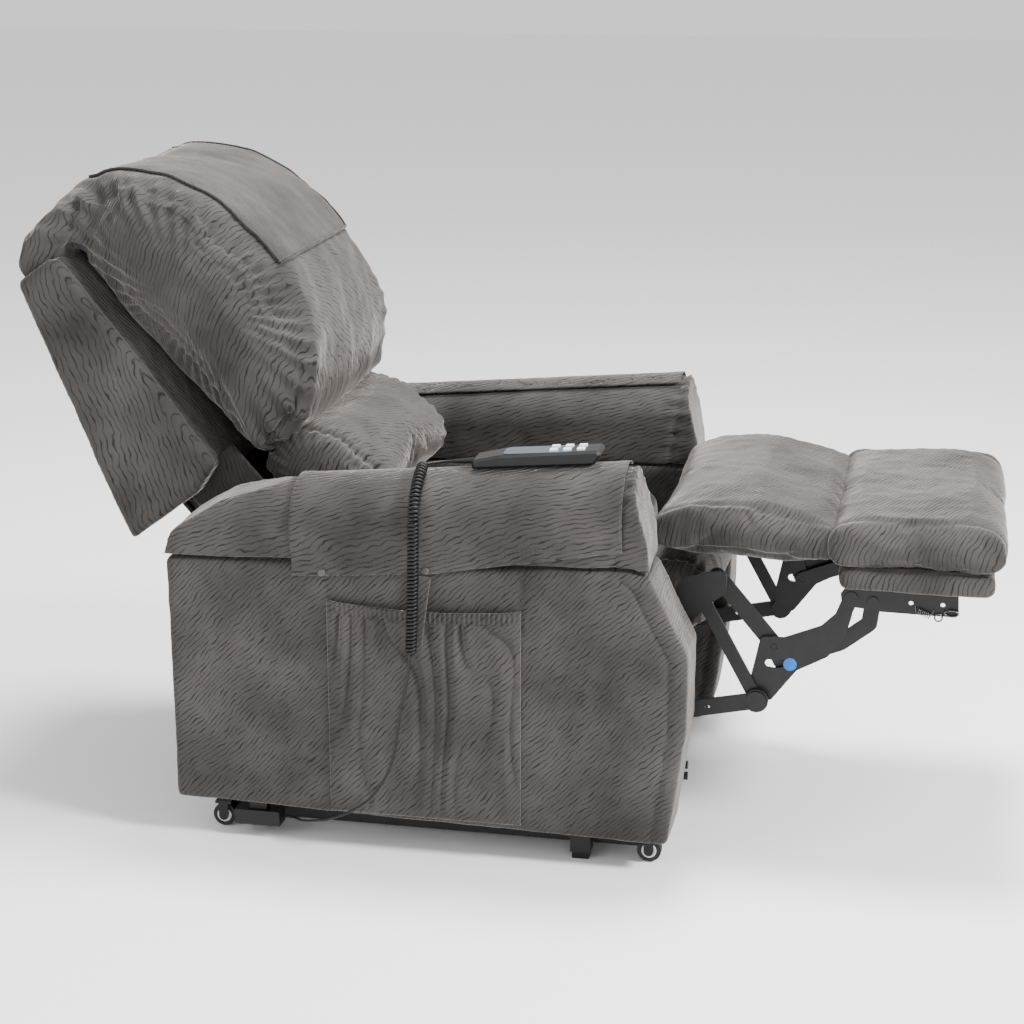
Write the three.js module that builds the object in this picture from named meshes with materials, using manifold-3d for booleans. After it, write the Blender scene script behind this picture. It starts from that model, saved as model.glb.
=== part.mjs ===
// Lift recliner chair: a rising base, a reclining back and a fold-out footrest,
// drawn in the fully extended position with the back laid part-way down.
// Millimetres, +Z up, the sitter faces -Y. The origin is on the floor, under the
// middle of the whole chair.
import * as THREE from 'three';
import * as BufferGeometryUtils from 'three/addons/utils/BufferGeometryUtils.js';
import Module from 'manifold-3d';

const wasm = await Module();
wasm.setup();

// ---- driving dimensions -------------------------------------------------------
const DRAWING_SHIFT = 125;      // the chair is drawn about the seat, this centres it
const GAP = 0.3;                // between pieces that touch
const SIDES = [['right', -1], ['left', 1]];

const ARM_IN = 262;             // inner face of an arm, from the middle
const ARM_OUT = 395;            // outer face of the side panel
const PANEL_REAR = 397;
const ROLL_BULGE = 409;         // widest point of the arm roll
const ROLL_MID = 335;           // middle of the roll
const ROLL_FRONT_TOP = 674;
const ROLL_SLOPE = -0.086;      // height lost per millimetre towards the back

const PLATE = 5;                // steel plate and link thickness
const LAYER = { lol: 220, fol: 226, mol: 232, rol: 238, drive: 244, side: 253 };
const PIN_R = 5;
const HOLE_R = 5.6;
const OPEN_HOLE_R = 13.5;         // clearance hole where a linkage loop is left open
const TUBE = 20;                // square tube of the seat chassis
const BASE_TUBE = 25;           // square tube of the base
const BASE_Z = 18;              // underside of the base tubes

// pivots, as [y, z]
const RECLINE = [250, 430];
const FRONT_PIVOT = [-487.5, 465.4];
const REAR_PIVOT = [-460, 440];
const MID_PIVOT = [-584.3, 352.9];
const LOW_PIVOT = [-558.7, 260.8];
const INNER_PIVOT = [-596.7, 325.3];
const BOARD_PIVOT = [-705, 445];
const BOARD_PIVOT_2 = [-740, 442];
const CRANK_PIVOT = [-192, 330];
const CRANK_END = [-314, 210];
const CRANK_TIP = [-255.7, 301];
const FOOT_MOTOR = [215, 235];
const LIFT_FRONT = [-340, 62];
const LIFT_REAR = [-230, 62];
const LIFT_TOP_FRONT = [-146.8, 113.8];
const LIFT_TOP_REAR = [175, 119];
const LIFT_CRANK_TIP = [-321, 170.3];
const LIFT_MOTOR = [300, 77];
const BACK_MOTOR = [-90, 216];
const BACK_LEVER = [270, 330];
const BACK_MOTOR_X = 100;
const BACK_LEAN = 42;           // degrees from upright

const FOAM_HALF = 250;          // half-width of the seat cushion
const HANDSET_X = -330;
const CORD_R = 2.5;
const COIL_R = 10;

// ---- materials ----------------------------------------------------------------
const material = (color, roughness, metalness = 0) =>
  new THREE.MeshStandardMaterial({ color, roughness, metalness });
const velvet = () => material(0x6d645d, 0.9);
const darkVelvet = () => material(0x4c4641, 0.95);
const blackSteel = () => material(0x1b1b1d, 0.45, 0.6);
const brightSteel = () => material(0xa9adb2, 0.3, 0.9);
const blackPlastic = () => material(0x151517, 0.5);
const rubber = () => material(0x222224, 0.85);

// ---- solids -------------------------------------------------------------------
function toSolid(geometry) {
  geometry.deleteAttribute('normal');
  geometry.deleteAttribute('uv');
  const merged = BufferGeometryUtils.mergeVertices(geometry, 1e-4);
  return new wasm.Manifold(new wasm.Mesh({
    numProp: 3,
    vertProperties: new Float32Array(merged.attributes.position.array),
    triVerts: new Uint32Array(merged.index.array),
  }));
}

function toGeometry(solid) {
  const mesh = solid.getMesh();
  const geometry = new THREE.BufferGeometry();
  geometry.setAttribute('position', new THREE.BufferAttribute(mesh.vertProperties, 3));
  geometry.setIndex(new THREE.BufferAttribute(mesh.triVerts, 1));
  geometry.computeVertexNormals();
  return geometry;
}

function join(solids) {
  return solids.reduce((all, one) => all.add(one));
}

function box(x0, x1, y0, y1, z0, z1) {
  const geometry = new THREE.BoxGeometry(Math.abs(x1 - x0), y1 - y0, z1 - z0);
  geometry.translate((x0 + x1) / 2, (y0 + y1) / 2, (z0 + z1) / 2);
  return toSolid(geometry);
}

// a cylinder between two points
function rod(from, to, radius, sides = 10) {
  const a = new THREE.Vector3(...from);
  const b = new THREE.Vector3(...to);
  const axis = b.clone().sub(a);
  const geometry = new THREE.CylinderGeometry(radius, radius, axis.length(), sides);
  const turn = new THREE.Quaternion().setFromUnitVectors(new THREE.Vector3(0, 1, 0),
    axis.clone().normalize());
  geometry.applyQuaternion(turn);
  const middle = a.add(b).multiplyScalar(0.5);
  geometry.translate(middle.x, middle.y, middle.z);
  return toSolid(geometry);
}

// a cylinder along X through a pivot
const pin = ([y, z], radius, x0, x1, sides = 10) => rod([x0, y, z], [x1, y, z], radius, sides);

// an outline in the side view (y, z) pushed out along X, from x0 to x1
function plate(shape, x0, x1, curveSegments = 3) {
  const geometry = new THREE.ExtrudeGeometry(shape,
    { depth: Math.abs(x1 - x0), bevelEnabled: false, curveSegments });
  return toSolid(sideways(geometry, Math.min(x0, x1)));
}

function sideways(geometry, x0) {
  const basis = new THREE.Matrix4().makeBasis(
    new THREE.Vector3(0, 1, 0), new THREE.Vector3(0, 0, 1), new THREE.Vector3(1, 0, 0));
  geometry.applyMatrix4(basis);
  geometry.translate(x0, 0, 0);
  return geometry;
}

// a block with rounded edges: corners [y, z, radius] pushed out along X
function softBlock(corners, x0, x1, edge, curveSegments = 3, bevelSegments = 2) {
  const roundEnough = corners.map(([y, z, radius = 0]) => [y, z, Math.max(radius, edge + 1)]);
  const geometry = new THREE.ExtrudeGeometry(rounded(roundEnough), {
    depth: x1 - x0 - 2 * edge,
    bevelThickness: edge,
    bevelSize: edge,
    bevelOffset: -edge,
    bevelSegments,
    curveSegments,
  });
  return toSolid(sideways(geometry, x0 + edge));
}

const cushion = (corners, halfWidth, edge, curveSegments, bevelSegments) =>
  softBlock(corners, -halfWidth, halfWidth, edge, curveSegments, bevelSegments);

// an outline through corners [y, z, radius], with each corner rounded to an arc
function rounded(corners) {
  const shape = new THREE.Shape();
  corners.forEach(([y, z, radius = 0], i) => {
    const at = new THREE.Vector2(y, z);
    const back = new THREE.Vector2(...corners.at(i - 1).slice(0, 2)).sub(at).normalize();
    const onward = new THREE.Vector2(...corners[(i + 1) % corners.length].slice(0, 2))
      .sub(at).normalize();
    const halfAngle = Math.acos(THREE.MathUtils.clamp(back.dot(onward), -1, 1)) / 2;
    if (radius === 0 || halfAngle > 1.56) {
      if (i === 0) shape.moveTo(y, z);
      else shape.lineTo(y, z);
      return;
    }
    const start = at.clone().addScaledVector(back, radius / Math.tan(halfAngle));
    const end = at.clone().addScaledVector(onward, radius / Math.tan(halfAngle));
    const centre = at.clone().addScaledVector(back.clone().add(onward).normalize(),
      radius / Math.sin(halfAngle));
    const clockwise = back.cross(onward) > 0;
    if (i === 0) shape.moveTo(start.x, start.y);
    else shape.lineTo(start.x, start.y);
    shape.absarc(centre.x, centre.y, radius, start.sub(centre).angle(), end.sub(centre).angle(),
      clockwise);
  });
  shape.closePath();
  return shape;
}

// a flat link: a bar with round ends through a chain of pivots
function bar(pivots, halfWidth, x0, x1) {
  const pieces = [];
  pivots.forEach((p, i) => {
    pieces.push(pin(p, halfWidth, x0, x1));
    if (i === 0) return;
    const [ay, az] = pivots[i - 1];
    const [by, bz] = p;
    const length = Math.hypot(by - ay, bz - az);
    const ny = -(bz - az) / length * halfWidth;
    const nz = (by - ay) / length * halfWidth;
    pieces.push(plate(rounded([
      [ay + ny, az + nz], [by + ny, bz + nz], [by - ny, bz - nz], [ay - ny, az - nz],
    ]), x0, x1));
  });
  return join(pieces);
}

// a hole along X
const drill = (solid, at, radius, sides = 10) => solid.subtract(pin(at, radius, -500, 500, sides));

// a round bar along a curve, closed at both ends
function wire(points, radius, steps, sides = 8) {
  const path = new THREE.CatmullRomCurve3(points.map((p) => new THREE.Vector3(...p)),
    false, 'centripetal');
  const section = new THREE.Shape();
  section.absarc(0, 0, radius, 0, 2 * Math.PI);
  return toSolid(new THREE.ExtrudeGeometry(section,
    { steps, extrudePath: path, curveSegments: sides }));
}

// a point on the arm roll's crest, this far above it
const rollTop = (y) => ROLL_FRONT_TOP + ROLL_SLOPE * (y + 360);

// ---- assembly -----------------------------------------------------------------
const chair = new THREE.Group();
const drawing = new THREE.Group();
drawing.position.y = DRAWING_SHIFT;
chair.add(drawing);

function part(name, solid, look, parent = drawing) {
  const mesh = new THREE.Mesh(toGeometry(solid), look);
  mesh.name = name;
  parent.add(mesh);
}

// both mirrored copies of a piece; make(side) draws it, side is -1 or +1
function pair(name, make, look) {
  for (const [word, side] of SIDES) part(`${name}_${word}`, make(side), look());
}

// ---- base: tube frame, feet, transit wheels -------------------------------------
const RAIL_IN = 295;
const RAIL_OUT = RAIL_IN + BASE_TUBE;
const BASE_TOP = BASE_Z + BASE_TUBE;
const WHEEL_R = 20;
const WHEEL_LIFT = 1.5;         // the transit wheels hang just clear of the floor
const WHEEL_Z = WHEEL_R + WHEEL_LIFT;
const WHEEL_X = 333;
const WHEELS = { rear: 331, front: -399 };

function baseFrame() {
  const cross = (y) => box(-RAIL_OUT, RAIL_OUT, y - BASE_TUBE / 2, y + BASE_TUBE / 2,
    BASE_Z, BASE_TOP);
  const solids = [cross(LIFT_FRONT[0]), cross(LIFT_REAR[0]), cross(LIFT_MOTOR[0])];
  for (const [, side] of SIDES) {
    solids.push(box(side * RAIL_IN, side * RAIL_OUT, WHEELS.front - 15, WHEELS.rear + 15,
      BASE_Z, BASE_TOP));
    // ears for the front and rear lift links
    solids.push(ear(LIFT_FRONT, side * 210, side * 216));
    solids.push(pin(LIFT_FRONT, PIN_R, side * 199, side * 211));
    solids.push(ear(LIFT_REAR, side * 184, side * 190));
    solids.push(pin(LIFT_REAR, PIN_R, side * 175, side * 185));
    // feet: a front block outside the rail, a rear block inside it
    solids.push(foot(side * (RAIL_OUT - 1), side * 352, -303, -269));
    solids.push(foot(side * (RAIL_IN + 1), side * 262, 283, 317));
    for (const y of Object.values(WHEELS)) solids.push(fork(side, y));
  }
  // ears for the lift motor
  for (const [, side] of SIDES) solids.push(ear(LIFT_MOTOR, side * 17, side * 23));
  solids.push(pin(LIFT_MOTOR, PIN_R, -18, 18));
  return join(solids);
}

function ear([y, z], x0, x1) {
  return join([box(x0, x1, y - 12, y + 12, BASE_Z + 2, z), pin([y, z], 12, x0, x1)]);
}

function foot(x0, x1, y0, y1) {
  const lower = Math.min(x0, x1);
  const upper = Math.max(x0, x1);
  return join([
    box(lower, upper, y0, y1, 12, BASE_TOP - 2),
    box(lower + 3, upper - 3, y0 + 3, y1 - 3, 0, 13),
  ]);
}

// a wheel fork: two cheeks, a bridge over the wheel and the axle between them
function fork(side, y) {
  const inner = RAIL_OUT - 1;
  const outer = WHEEL_X + 12;
  const bridge = box(side * inner, side * (outer + 3), y - 14, y + 14,
    WHEEL_Z + WHEEL_R + 2, WHEEL_Z + WHEEL_R + 7);
  const cheek = join([
    box(side * outer, side * (outer + 3), y - 8, y + 8, WHEEL_Z, WHEEL_Z + WHEEL_R + 6),
    pin([y, WHEEL_Z], 8, side * outer, side * (outer + 3)),
  ]);
  const plinth = box(side * inner, side * (inner + 4), y - 14, y + 14, BASE_Z + 8,
    WHEEL_Z + WHEEL_R + 5);
  return join([bridge, cheek, plinth, pin([y, WHEEL_Z], 4, side * inner, side * outer)]);
}

part('base_frame', baseFrame(), blackSteel());
for (const [word, side] of SIDES) {
  for (const [end, y] of Object.entries(WHEELS)) {
    const tyre = join([
      pin([y, WHEEL_Z], WHEEL_R, side * (WHEEL_X - 8), side * (WHEEL_X + 8), 24),
      pin([y, WHEEL_Z], 9, side * (WHEEL_X - 9.5), side * (WHEEL_X + 9.5), 12),
    ]);
    part(`wheel_${end}_${word}`, drill(tyre, [y, WHEEL_Z], 4.5), rubber());
  }
}

// power supply, standing on the front cross tube
const PSU = { x0: -194, x1: -98, y: -352.5 - GAP, low: 26, high: 150, depth: 42 };
function powerSupply() {
  const front = PSU.y - PSU.depth;
  const body = plate(rounded([
    [PSU.y, PSU.low, 4], [PSU.y, PSU.high, 8], [front - 22, PSU.high + 6, 8],
    [front - 34, PSU.high - 30, 10], [front - 8, PSU.low + 6, 6],
  ]), PSU.x0, PSU.x1);
  const knob = (z) => rod([PSU.x0 + 20, front - 4, z], [PSU.x0 + 20, front - 46, z], 7, 12);
  return join([body, knob(PSU.high - 42), knob(PSU.high - 62)]);
}
part('power_supply', powerSupply(), blackPlastic());

// ---- lift: two pairs of parallel links and their actuator ----------------------
function liftFront() {
  const middle = [-306, 71];
  const arms = SIDES.map(([, side]) => {
    const arm = bar([LIFT_FRONT, LIFT_TOP_FRONT], 14, side * 200, side * 208);
    return drill(drill(arm, LIFT_FRONT, HOLE_R), LIFT_TOP_FRONT, HOLE_R);
  });
  const crank = [-1, 1].map((side) => {
    const cheek = bar([middle, LIFT_CRANK_TIP], 13, side * 12, side * 17);
    return drill(cheek, LIFT_CRANK_TIP, HOLE_R);
  });
  const clevisPin = pin(LIFT_CRANK_TIP, HOLE_R + 0.2, -17, 17);
  return join([...arms, ...crank, clevisPin, pin(middle, 11, -201, 201, 12)]);
}
part('lift_front_frame', liftFront(), blackSteel());

function liftRear() {
  const arms = SIDES.map(([, side]) => {
    const arm = bar([LIFT_REAR, LIFT_TOP_REAR], 14, side * 174, side * 182);
    return drill(drill(arm, LIFT_REAR, HOLE_R), LIFT_TOP_REAR, OPEN_HOLE_R, 12);
  });
  // the open pivots need round eyes wider than the arm
  const eyes = SIDES.map(([, side]) =>
    drill(pin(LIFT_TOP_REAR, OPEN_HOLE_R + 6, side * 174, side * 182, 12),
      LIFT_TOP_REAR, OPEN_HOLE_R, 12));
  return join([...arms, ...eyes, pin(LIFT_REAR, 9, -174.5, 174.5)]);
}

// an actuator: a motor tube with a tail lug at its pivot and a bored front, and
// the rod that slides in the bore. The rod's eye is a slot across the rod, from
// the tip up (or down) by the slot's run, where the crank pin is free to rise.
const MOTOR_R = 19;
const ROD_R = 9;
const EYE_WALL = 5;
function actuator(tail, tip, { x = 0, bodyLength, gearbox, engaged, slot }) {
  const length = Math.hypot(tip[0] - tail[0], tip[1] - tail[1]);
  const alongY = (tip[0] - tail[0]) / length;
  const alongZ = (tip[1] - tail[1]) / length;
  const at = (d, up = 0) => [
    x, tail[0] + alongY * d - alongZ * up * Math.sign(alongY),
    tail[1] + alongZ * d + Math.abs(alongY) * up,
  ];
  const lug = rod([x - 8, ...tail], [x + 8, ...tail], 12);
  const body = join([
    rod(at(30), at(bodyLength), MOTOR_R, 16),
    rod(at(4), at(34), 9),
    rod(at(34, gearbox), at(130, gearbox), 17, 16),
    rod(at(34), at(66), 26, 16),
    lug,
  ])
    .subtract(rod(at(75), at(bodyLength + 5), ROD_R + 1, 12))
    .subtract(rod([x - 9, ...tail], [x + 9, ...tail], HOLE_R));
  const run = [at(length + slot.ahead), at(length + slot.ahead, slot.run)]
    .map(([, y, z]) => [y, z]);
  const shaft = join([
    rod(at(bodyLength - engaged), at(length - slot.radius), ROD_R, 12),
    bar(run, slot.radius + EYE_WALL, x - 7, x + 7),
  ]).subtract(bar(run, slot.radius, x - 9, x + 9));
  return [body, shaft];
}
part('lift_rear_frame', liftRear(), blackSteel());
const [liftMotor, liftRod] = actuator(LIFT_MOTOR, LIFT_CRANK_TIP, {
  bodyLength: 560, gearbox: -20, engaged: 130, slot: { ahead: 3, run: 12, radius: 10 },
});
part('lift_motor', liftMotor, blackPlastic());
part('lift_rod', liftRod, brightSteel());

// ---- chassis: the steel frame that the seat, arms and back stand on -------------
const SUB_IN = 184;
const SUB_OUT = SUB_IN + TUBE;
const SUB_Z = 155;
const CHASSIS_FRONT = -380;
const CHASSIS_REAR = 230;
const MOTOR_TUBE = -90;

function sidePlate(side) {
  const outline = rounded([
    [-506, 446, 8], [-506, 486, 12], [-440, 470, 10], [-385, 396, 10], [190, 396, 8],
    [226, 452, 14], [274, 452, 14], [276, 420, 8], [252, 152, 8], [-395, 152, 8],
    [-395, 330, 20], [-478, 425, 10],
  ]);
  const solid = plate(outline, side * LAYER.side, side * (LAYER.side + PLATE));
  const inward = side * (LAYER.side + 1);
  return join([
    solid,
    pin(FRONT_PIVOT, PIN_R, side * (LAYER.fol - 2), inward),
    pin(REAR_PIVOT, PIN_R, side * (LAYER.rol - 2), inward),
    pin(RECLINE, 7, side * 242, inward),
  ]);
}

pair('chassis_side', sidePlate, blackSteel);

const CHASSIS_HALF = LAYER.side - GAP;
function subframe() {
  const square = (y) => box(-CHASSIS_HALF, CHASSIS_HALF, y - TUBE / 2, y + TUBE / 2,
    SUB_Z, SUB_Z + TUBE);
  const solids = [
    square(CHASSIS_FRONT),
    square(CHASSIS_REAR),
    box(-SUB_OUT, SUB_OUT, MOTOR_TUBE - 10, MOTOR_TUBE + 10, SUB_Z + TUBE - 1, SUB_Z + TUBE + 19),
  ];
  for (const [, side] of SIDES) {
    solids.push(box(side * SUB_IN, side * SUB_OUT, CHASSIS_FRONT, CHASSIS_REAR,
      SUB_Z, SUB_Z + TUBE));
    // hangers down to the lift links
    const [fy, fz] = LIFT_TOP_FRONT;
    solids.push(box(side * 190, side * 198, fy - 14, fy + 14, fz, SUB_Z + 5));
    solids.push(pin(LIFT_TOP_FRONT, 14, side * 190, side * 198));
    solids.push(pin(LIFT_TOP_FRONT, PIN_R, side * 197, side * 209));
    const [ry, rz] = LIFT_TOP_REAR;
    solids.push(box(side * 185, side * 191, ry - 12, ry + 12, rz, SUB_Z + 5));
    solids.push(pin(LIFT_TOP_REAR, 12, side * 185, side * 191));
    solids.push(pin(LIFT_TOP_REAR, PIN_R, side * 173, side * 186));
  }
  // clevis cheeks for the footrest motor, behind, and the back motor, in front
  const clevis = ([y, z], x, foot) => {
    for (const [, side] of SIDES) {
      const near = x + side * 10;
      const far = x + side * 15;
      solids.push(box(near, far, y - 11, y + 11, foot, z));
      solids.push(pin([y, z], 11, near, far));
    }
    solids.push(pin([y, z], PIN_R, x - 12, x + 12));
  };
  clevis(FOOT_MOTOR, 0, SUB_Z + 4);
  clevis(BACK_MOTOR, BACK_MOTOR_X, SUB_Z + TUBE + 10);
  solids.push(box(-20, 20, FOOT_MOTOR[0] - 11, CHASSIS_REAR, SUB_Z + 2, SUB_Z + TUBE));
  return join(solids);
}
part('chassis_subframe', subframe(), blackSteel());

// two round tubes and two stringers that carry the seat deck, with an arm on
// each side that bears the footrest shaft
const SHAFT_R = 13;
function seatFrame() {
  const tube = (y) => pin([y, 338], 10.5, -CHASSIS_HALF, CHASSIS_HALF, 12);
  const stringer = (side) => box(side * 150, side * 168, MOTOR_TUBE, 150, 330, 346);
  const bearing = (side) => {
    const [x0, x1] = [side * 208, side * 214];
    const arm = bar([[MOTOR_TUBE, 338], CRANK_PIVOT], 9, x0, x1);
    return drill(arm.add(pin(CRANK_PIVOT, SHAFT_R + 6, x0, x1, 14)), CRANK_PIVOT,
      SHAFT_R + 0.8, 14);
  };
  return join([tube(MOTOR_TUBE), tube(150), ...SIDES.map(([, side]) => stringer(side)),
    ...SIDES.map(([, side]) => bearing(side))]);
}
part('seat_frame', seatFrame(), blackSteel());

const SEAT_BOX = { half: 213, rear: 205, low: 350, high: 396 };
part('seat_box', cushion([
  [-345, SEAT_BOX.low, 6], [SEAT_BOX.rear, SEAT_BOX.low, 6], [SEAT_BOX.rear, SEAT_BOX.high, 6],
  [-345, SEAT_BOX.high, 6],
], SEAT_BOX.half, 3, 1, 1), darkVelvet());

part('seat_cushion', cushion([
  [-338, 399, 16], [190, 399, 16], [190, 478, 30], [-338, 478, 30],
], FOAM_HALF, 12), velvet());

// the padded roll that closes the front of the seat
part('seat_front_roll', cushion([
  [-350, 352, 10], [-350, 484, 30], [-440, 486, 40], [-486, 440, 40], [-470, 372, 30],
  [-430, 346, 20],
], 212, 18), velvet());

// ---- arms ---------------------------------------------------------------------
function sidePanel(side) {
  const corners = [
    [PANEL_REAR, 70, 7], [PANEL_REAR + 2, 494, 10], [-372, 516, 10], [-398, 505, 10],
    [-440, 420, 40], [-463, 380, 40], [-462, 250, 60], [-436, 52, 10],
  ];
  const x0 = side > 0 ? ARM_IN : -ARM_OUT;
  return softBlock(corners, x0, x0 + ARM_OUT - ARM_IN, 6, 2, 1);
}
pair('side_panel', sidePanel, velvet);

// the arm roll seen from the front, as an outline about its own middle; grow
// makes it larger all round, for the covers that lie over it
function rollSection(grow) {
  const half = ROLL_BULGE - ROLL_MID + grow;
  const inner = ROLL_MID - ARM_IN;
  const shape = new THREE.Shape();
  shape.moveTo(-inner, -170);
  shape.lineTo(-inner, -half);
  shape.absarc(0, -half, inner, Math.PI, Math.PI / 2, true);
  shape.absarc(0, -half, half, Math.PI / 2, -0.5, true);
  shape.lineTo(ARM_OUT - ROLL_MID + grow, -170);
  shape.closePath();
  return shape;
}

// a section pushed along Y, sloping up to the front
function sloped(section, y0, y1, side) {
  const geometry = new THREE.ExtrudeGeometry(section,
    { depth: y1 - y0, steps: 1, bevelEnabled: false, curveSegments: 8 });
  const lean = new THREE.Matrix4().set(
    side, 0, 0, side * ROLL_MID,
    0, 0, 1, y0,
    0, 1, ROLL_SLOPE, rollTop(y0),
    0, 0, 0, 1);
  geometry.applyMatrix4(lean);
  if (side > 0) flip(geometry);
  return toSolid(geometry);
}

// turns the triangles of a mirrored geometry the right way out
function flip(geometry) {
  const position = geometry.attributes.position;
  for (let i = 0; i < position.count; i += 3) {
    for (const get of ['X', 'Y', 'Z']) {
      const b = position[`get${get}`](i + 1);
      const c = position[`get${get}`](i + 2);
      position[`set${get}`](i + 1, c);
      position[`set${get}`](i + 2, b);
    }
  }
}

function armRoll(side) {
  const body = sloped(rollSection(0), -400, 420, side);
  const reach = plate(armOutline(), side * 240, side * 420, 4);
  return body.intersect(reach);
}

function armOutline() {
  return rounded([
    [-400, 507], [-396, 560, 30], [-377, 640, 10], [-374, ROLL_FRONT_TOP + 4, 12], [-350, 700],
    [184, 700], [186, rollTop(186) + 0.5], [305, 594, 60], [385, 545, 30],
    [404, 497, 2], [PANEL_REAR, 494.5], [-372, 516 + GAP],
  ]);
}
pair('arm_roll', armRoll, velvet);

// a fabric cover over the arm's crest, hanging down its outer side
const CAP = { front: -356, rear: 180, thick: 3 };
function armCap(side) {
  const outer = sloped(rollSection(GAP + CAP.thick), CAP.front, CAP.rear, side);
  const inner = sloped(rollSection(GAP), CAP.front - 5, CAP.rear + 5, side);
  const reach = plate(rounded([
    [CAP.front, 548, 2], [CAP.front, 720], [CAP.rear, 720], [CAP.rear - 30, 478, 6],
    [-50, 494, 30],
  ]), side * 300, side * 430);
  return outer.subtract(inner).intersect(reach);
}
pair('arm_cap', armCap, velvet);

// a gathered pocket on the outside of the right arm, open at the top
const POCKET = { front: -195, rear: 125, low: 72, high: 440, deep: 14, wall: 12, sheet: 3.5 };
function pocket() {
  const face = -ARM_OUT - GAP;
  const outer = box(face - POCKET.deep, face, POCKET.front, POCKET.rear, POCKET.low, POCKET.high);
  const inner = box(face - POCKET.deep + POCKET.sheet, face + 2,
    POCKET.front + POCKET.wall, POCKET.rear - POCKET.wall,
    POCKET.low + POCKET.wall, POCKET.high + 5);
  return outer.subtract(inner);
}
part('side_pocket', pocket(), velvet());

// ---- back ---------------------------------------------------------------------
// drawn upright about the recline pivot, facing -Y, then leaned back
const back = new THREE.Group();
back.position.set(0, RECLINE[0], RECLINE[1]);
back.rotation.x = THREE.MathUtils.degToRad(-BACK_LEAN);
drawing.add(back);

// corners given as height above the pivot and depth in front of it
const upright = (corners) => corners.map(([up, ahead, radius]) => [-ahead, up, radius]);

const UPRIGHT_X = 200;
function backFrame() {
  const lean = THREE.MathUtils.degToRad(BACK_LEAN);
  const ey = BACK_LEVER[0] - RECLINE[0];
  const ez = BACK_LEVER[1] - RECLINE[1];
  const lever = [ey * Math.cos(lean) - ez * Math.sin(lean), ey * Math.sin(lean) + ez * Math.cos(lean)];
  const solids = [box(-245, 245, -60, -30, 30, 150)];
  for (const [, side] of SIDES) {
    solids.push(box(side * (UPRIGHT_X - 12), side * (UPRIGHT_X + 12), -35, -10, 32, 560));
    const eye = bar([[0, 0], [-45, 60]], 16, side * 243, side * 249);
    solids.push(drill(eye, [0, 0], 7.7));
    solids.push(box(side * 236, side * 249, -60, -32, 40, 90));
  }
  for (const side of [-1, 1]) {
    const x = BACK_MOTOR_X + side * 12.5;
    const cheek = bar([[-40, 60], [20, -10], lever], 13, x - 2.5, x + 2.5);
    solids.push(cheek);
  }
  solids.push(pin(lever, PIN_R, BACK_MOTOR_X - 12, BACK_MOTOR_X + 12));
  return join(solids);
}
part('back_frame', backFrame(), blackSteel(), back);

const WING_HALF = 285;
function backShell() {
  let solid = cushion(upright([
    [648, 4, 12], [640, 90, 24], [420, 78, 0], [205, 58, 14], [190, 0, 14], [203, -152, 8],
  ]), WING_HALF, 8, 2, 1);
  for (const [, side] of SIDES) {
    solid = solid.subtract(box(side * (UPRIGHT_X - 13), side * (UPRIGHT_X + 13),
      -36, -9, 150, 562));
  }
  return solid;
}
part('back_shell', backShell(), velvet(), back);

part('lumbar_bolster', cushion(upright([
  [-48, 222, 38], [0, 132, 30], [62, 86, 30], [172, 88, 36], [172, 196, 50], [112, 240, 60],
  [10, 252, 40],
]), 246, 32), velvet(), back);

const HEAD_HALF = 278;
const HEAD = [
  [178, 98, 26], [620, 100, 50], [682, 176, 60], [664, 268, 60], [560, 330, 120], [400, 346, 120],
  [250, 316, 90], [180, 220, 70],
];
// the bolster wraps over the top of the back shell
const WRAP = upright([
  [652, 12, 7], [672, 28, 7], [692, 62, 12], [692, 165, 12], [652, 165, 7],
]);
function headBolster() {
  return join([cushion(upright(HEAD), HEAD_HALF, 46), cushion(WRAP, HEAD_HALF, 6)]);
}
part('head_bolster', headBolster(), velvet(), back);

// a loose cover over the top and front of the head bolster
const COVER = { half: 205, low: 400, behind: 176, thick: 3 };
function headCover() {
  const grown = (by) => {
    const shape = upright(HEAD.map(([up, ahead, radius]) => [
      up > 400 ? up + by * 0.9 : up, ahead > 140 ? ahead + by : ahead - by * 0.2, radius]));
    return plate(rounded(shape), -COVER.half, COVER.half, 4);
  };
  const skin = grown(GAP + CAP.thick + 1).subtract(grown(GAP + 1));
  return skin.intersect(box(-COVER.half - 1, COVER.half + 1, -400, -COVER.behind,
    COVER.low, 760));
}
part('head_cover', headCover(), darkVelvet(), back);

const [backMotor, backRod] = actuator(BACK_MOTOR, BACK_LEVER, {
  x: BACK_MOTOR_X, bodyLength: 300, gearbox: -24, engaged: 60,
  slot: { ahead: 0, run: 1, radius: 9.5 },
});
part('back_motor', backMotor, blackPlastic());
part('back_rod', backRod, brightSteel());

// ---- footrest linkage, one set on each side -----------------------------------
const flat = (layer, side) => [side * layer, side * (layer + PLATE)];

pair('front_link', (side) => {
  let link = bar([FRONT_PIVOT, MID_PIVOT, INNER_PIVOT], 14, ...flat(LAYER.fol, side));
  link = drill(link, FRONT_PIVOT, HOLE_R);
  const outward = pin(MID_PIVOT, PIN_R, side * LAYER.fol, side * (LAYER.mol + PLATE + 0.5));
  const inward = pin(INNER_PIVOT, PIN_R, side * LAYER.lol, side * (LAYER.fol + 1));
  return join([link, outward, inward]);
}, blackSteel);

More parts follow.
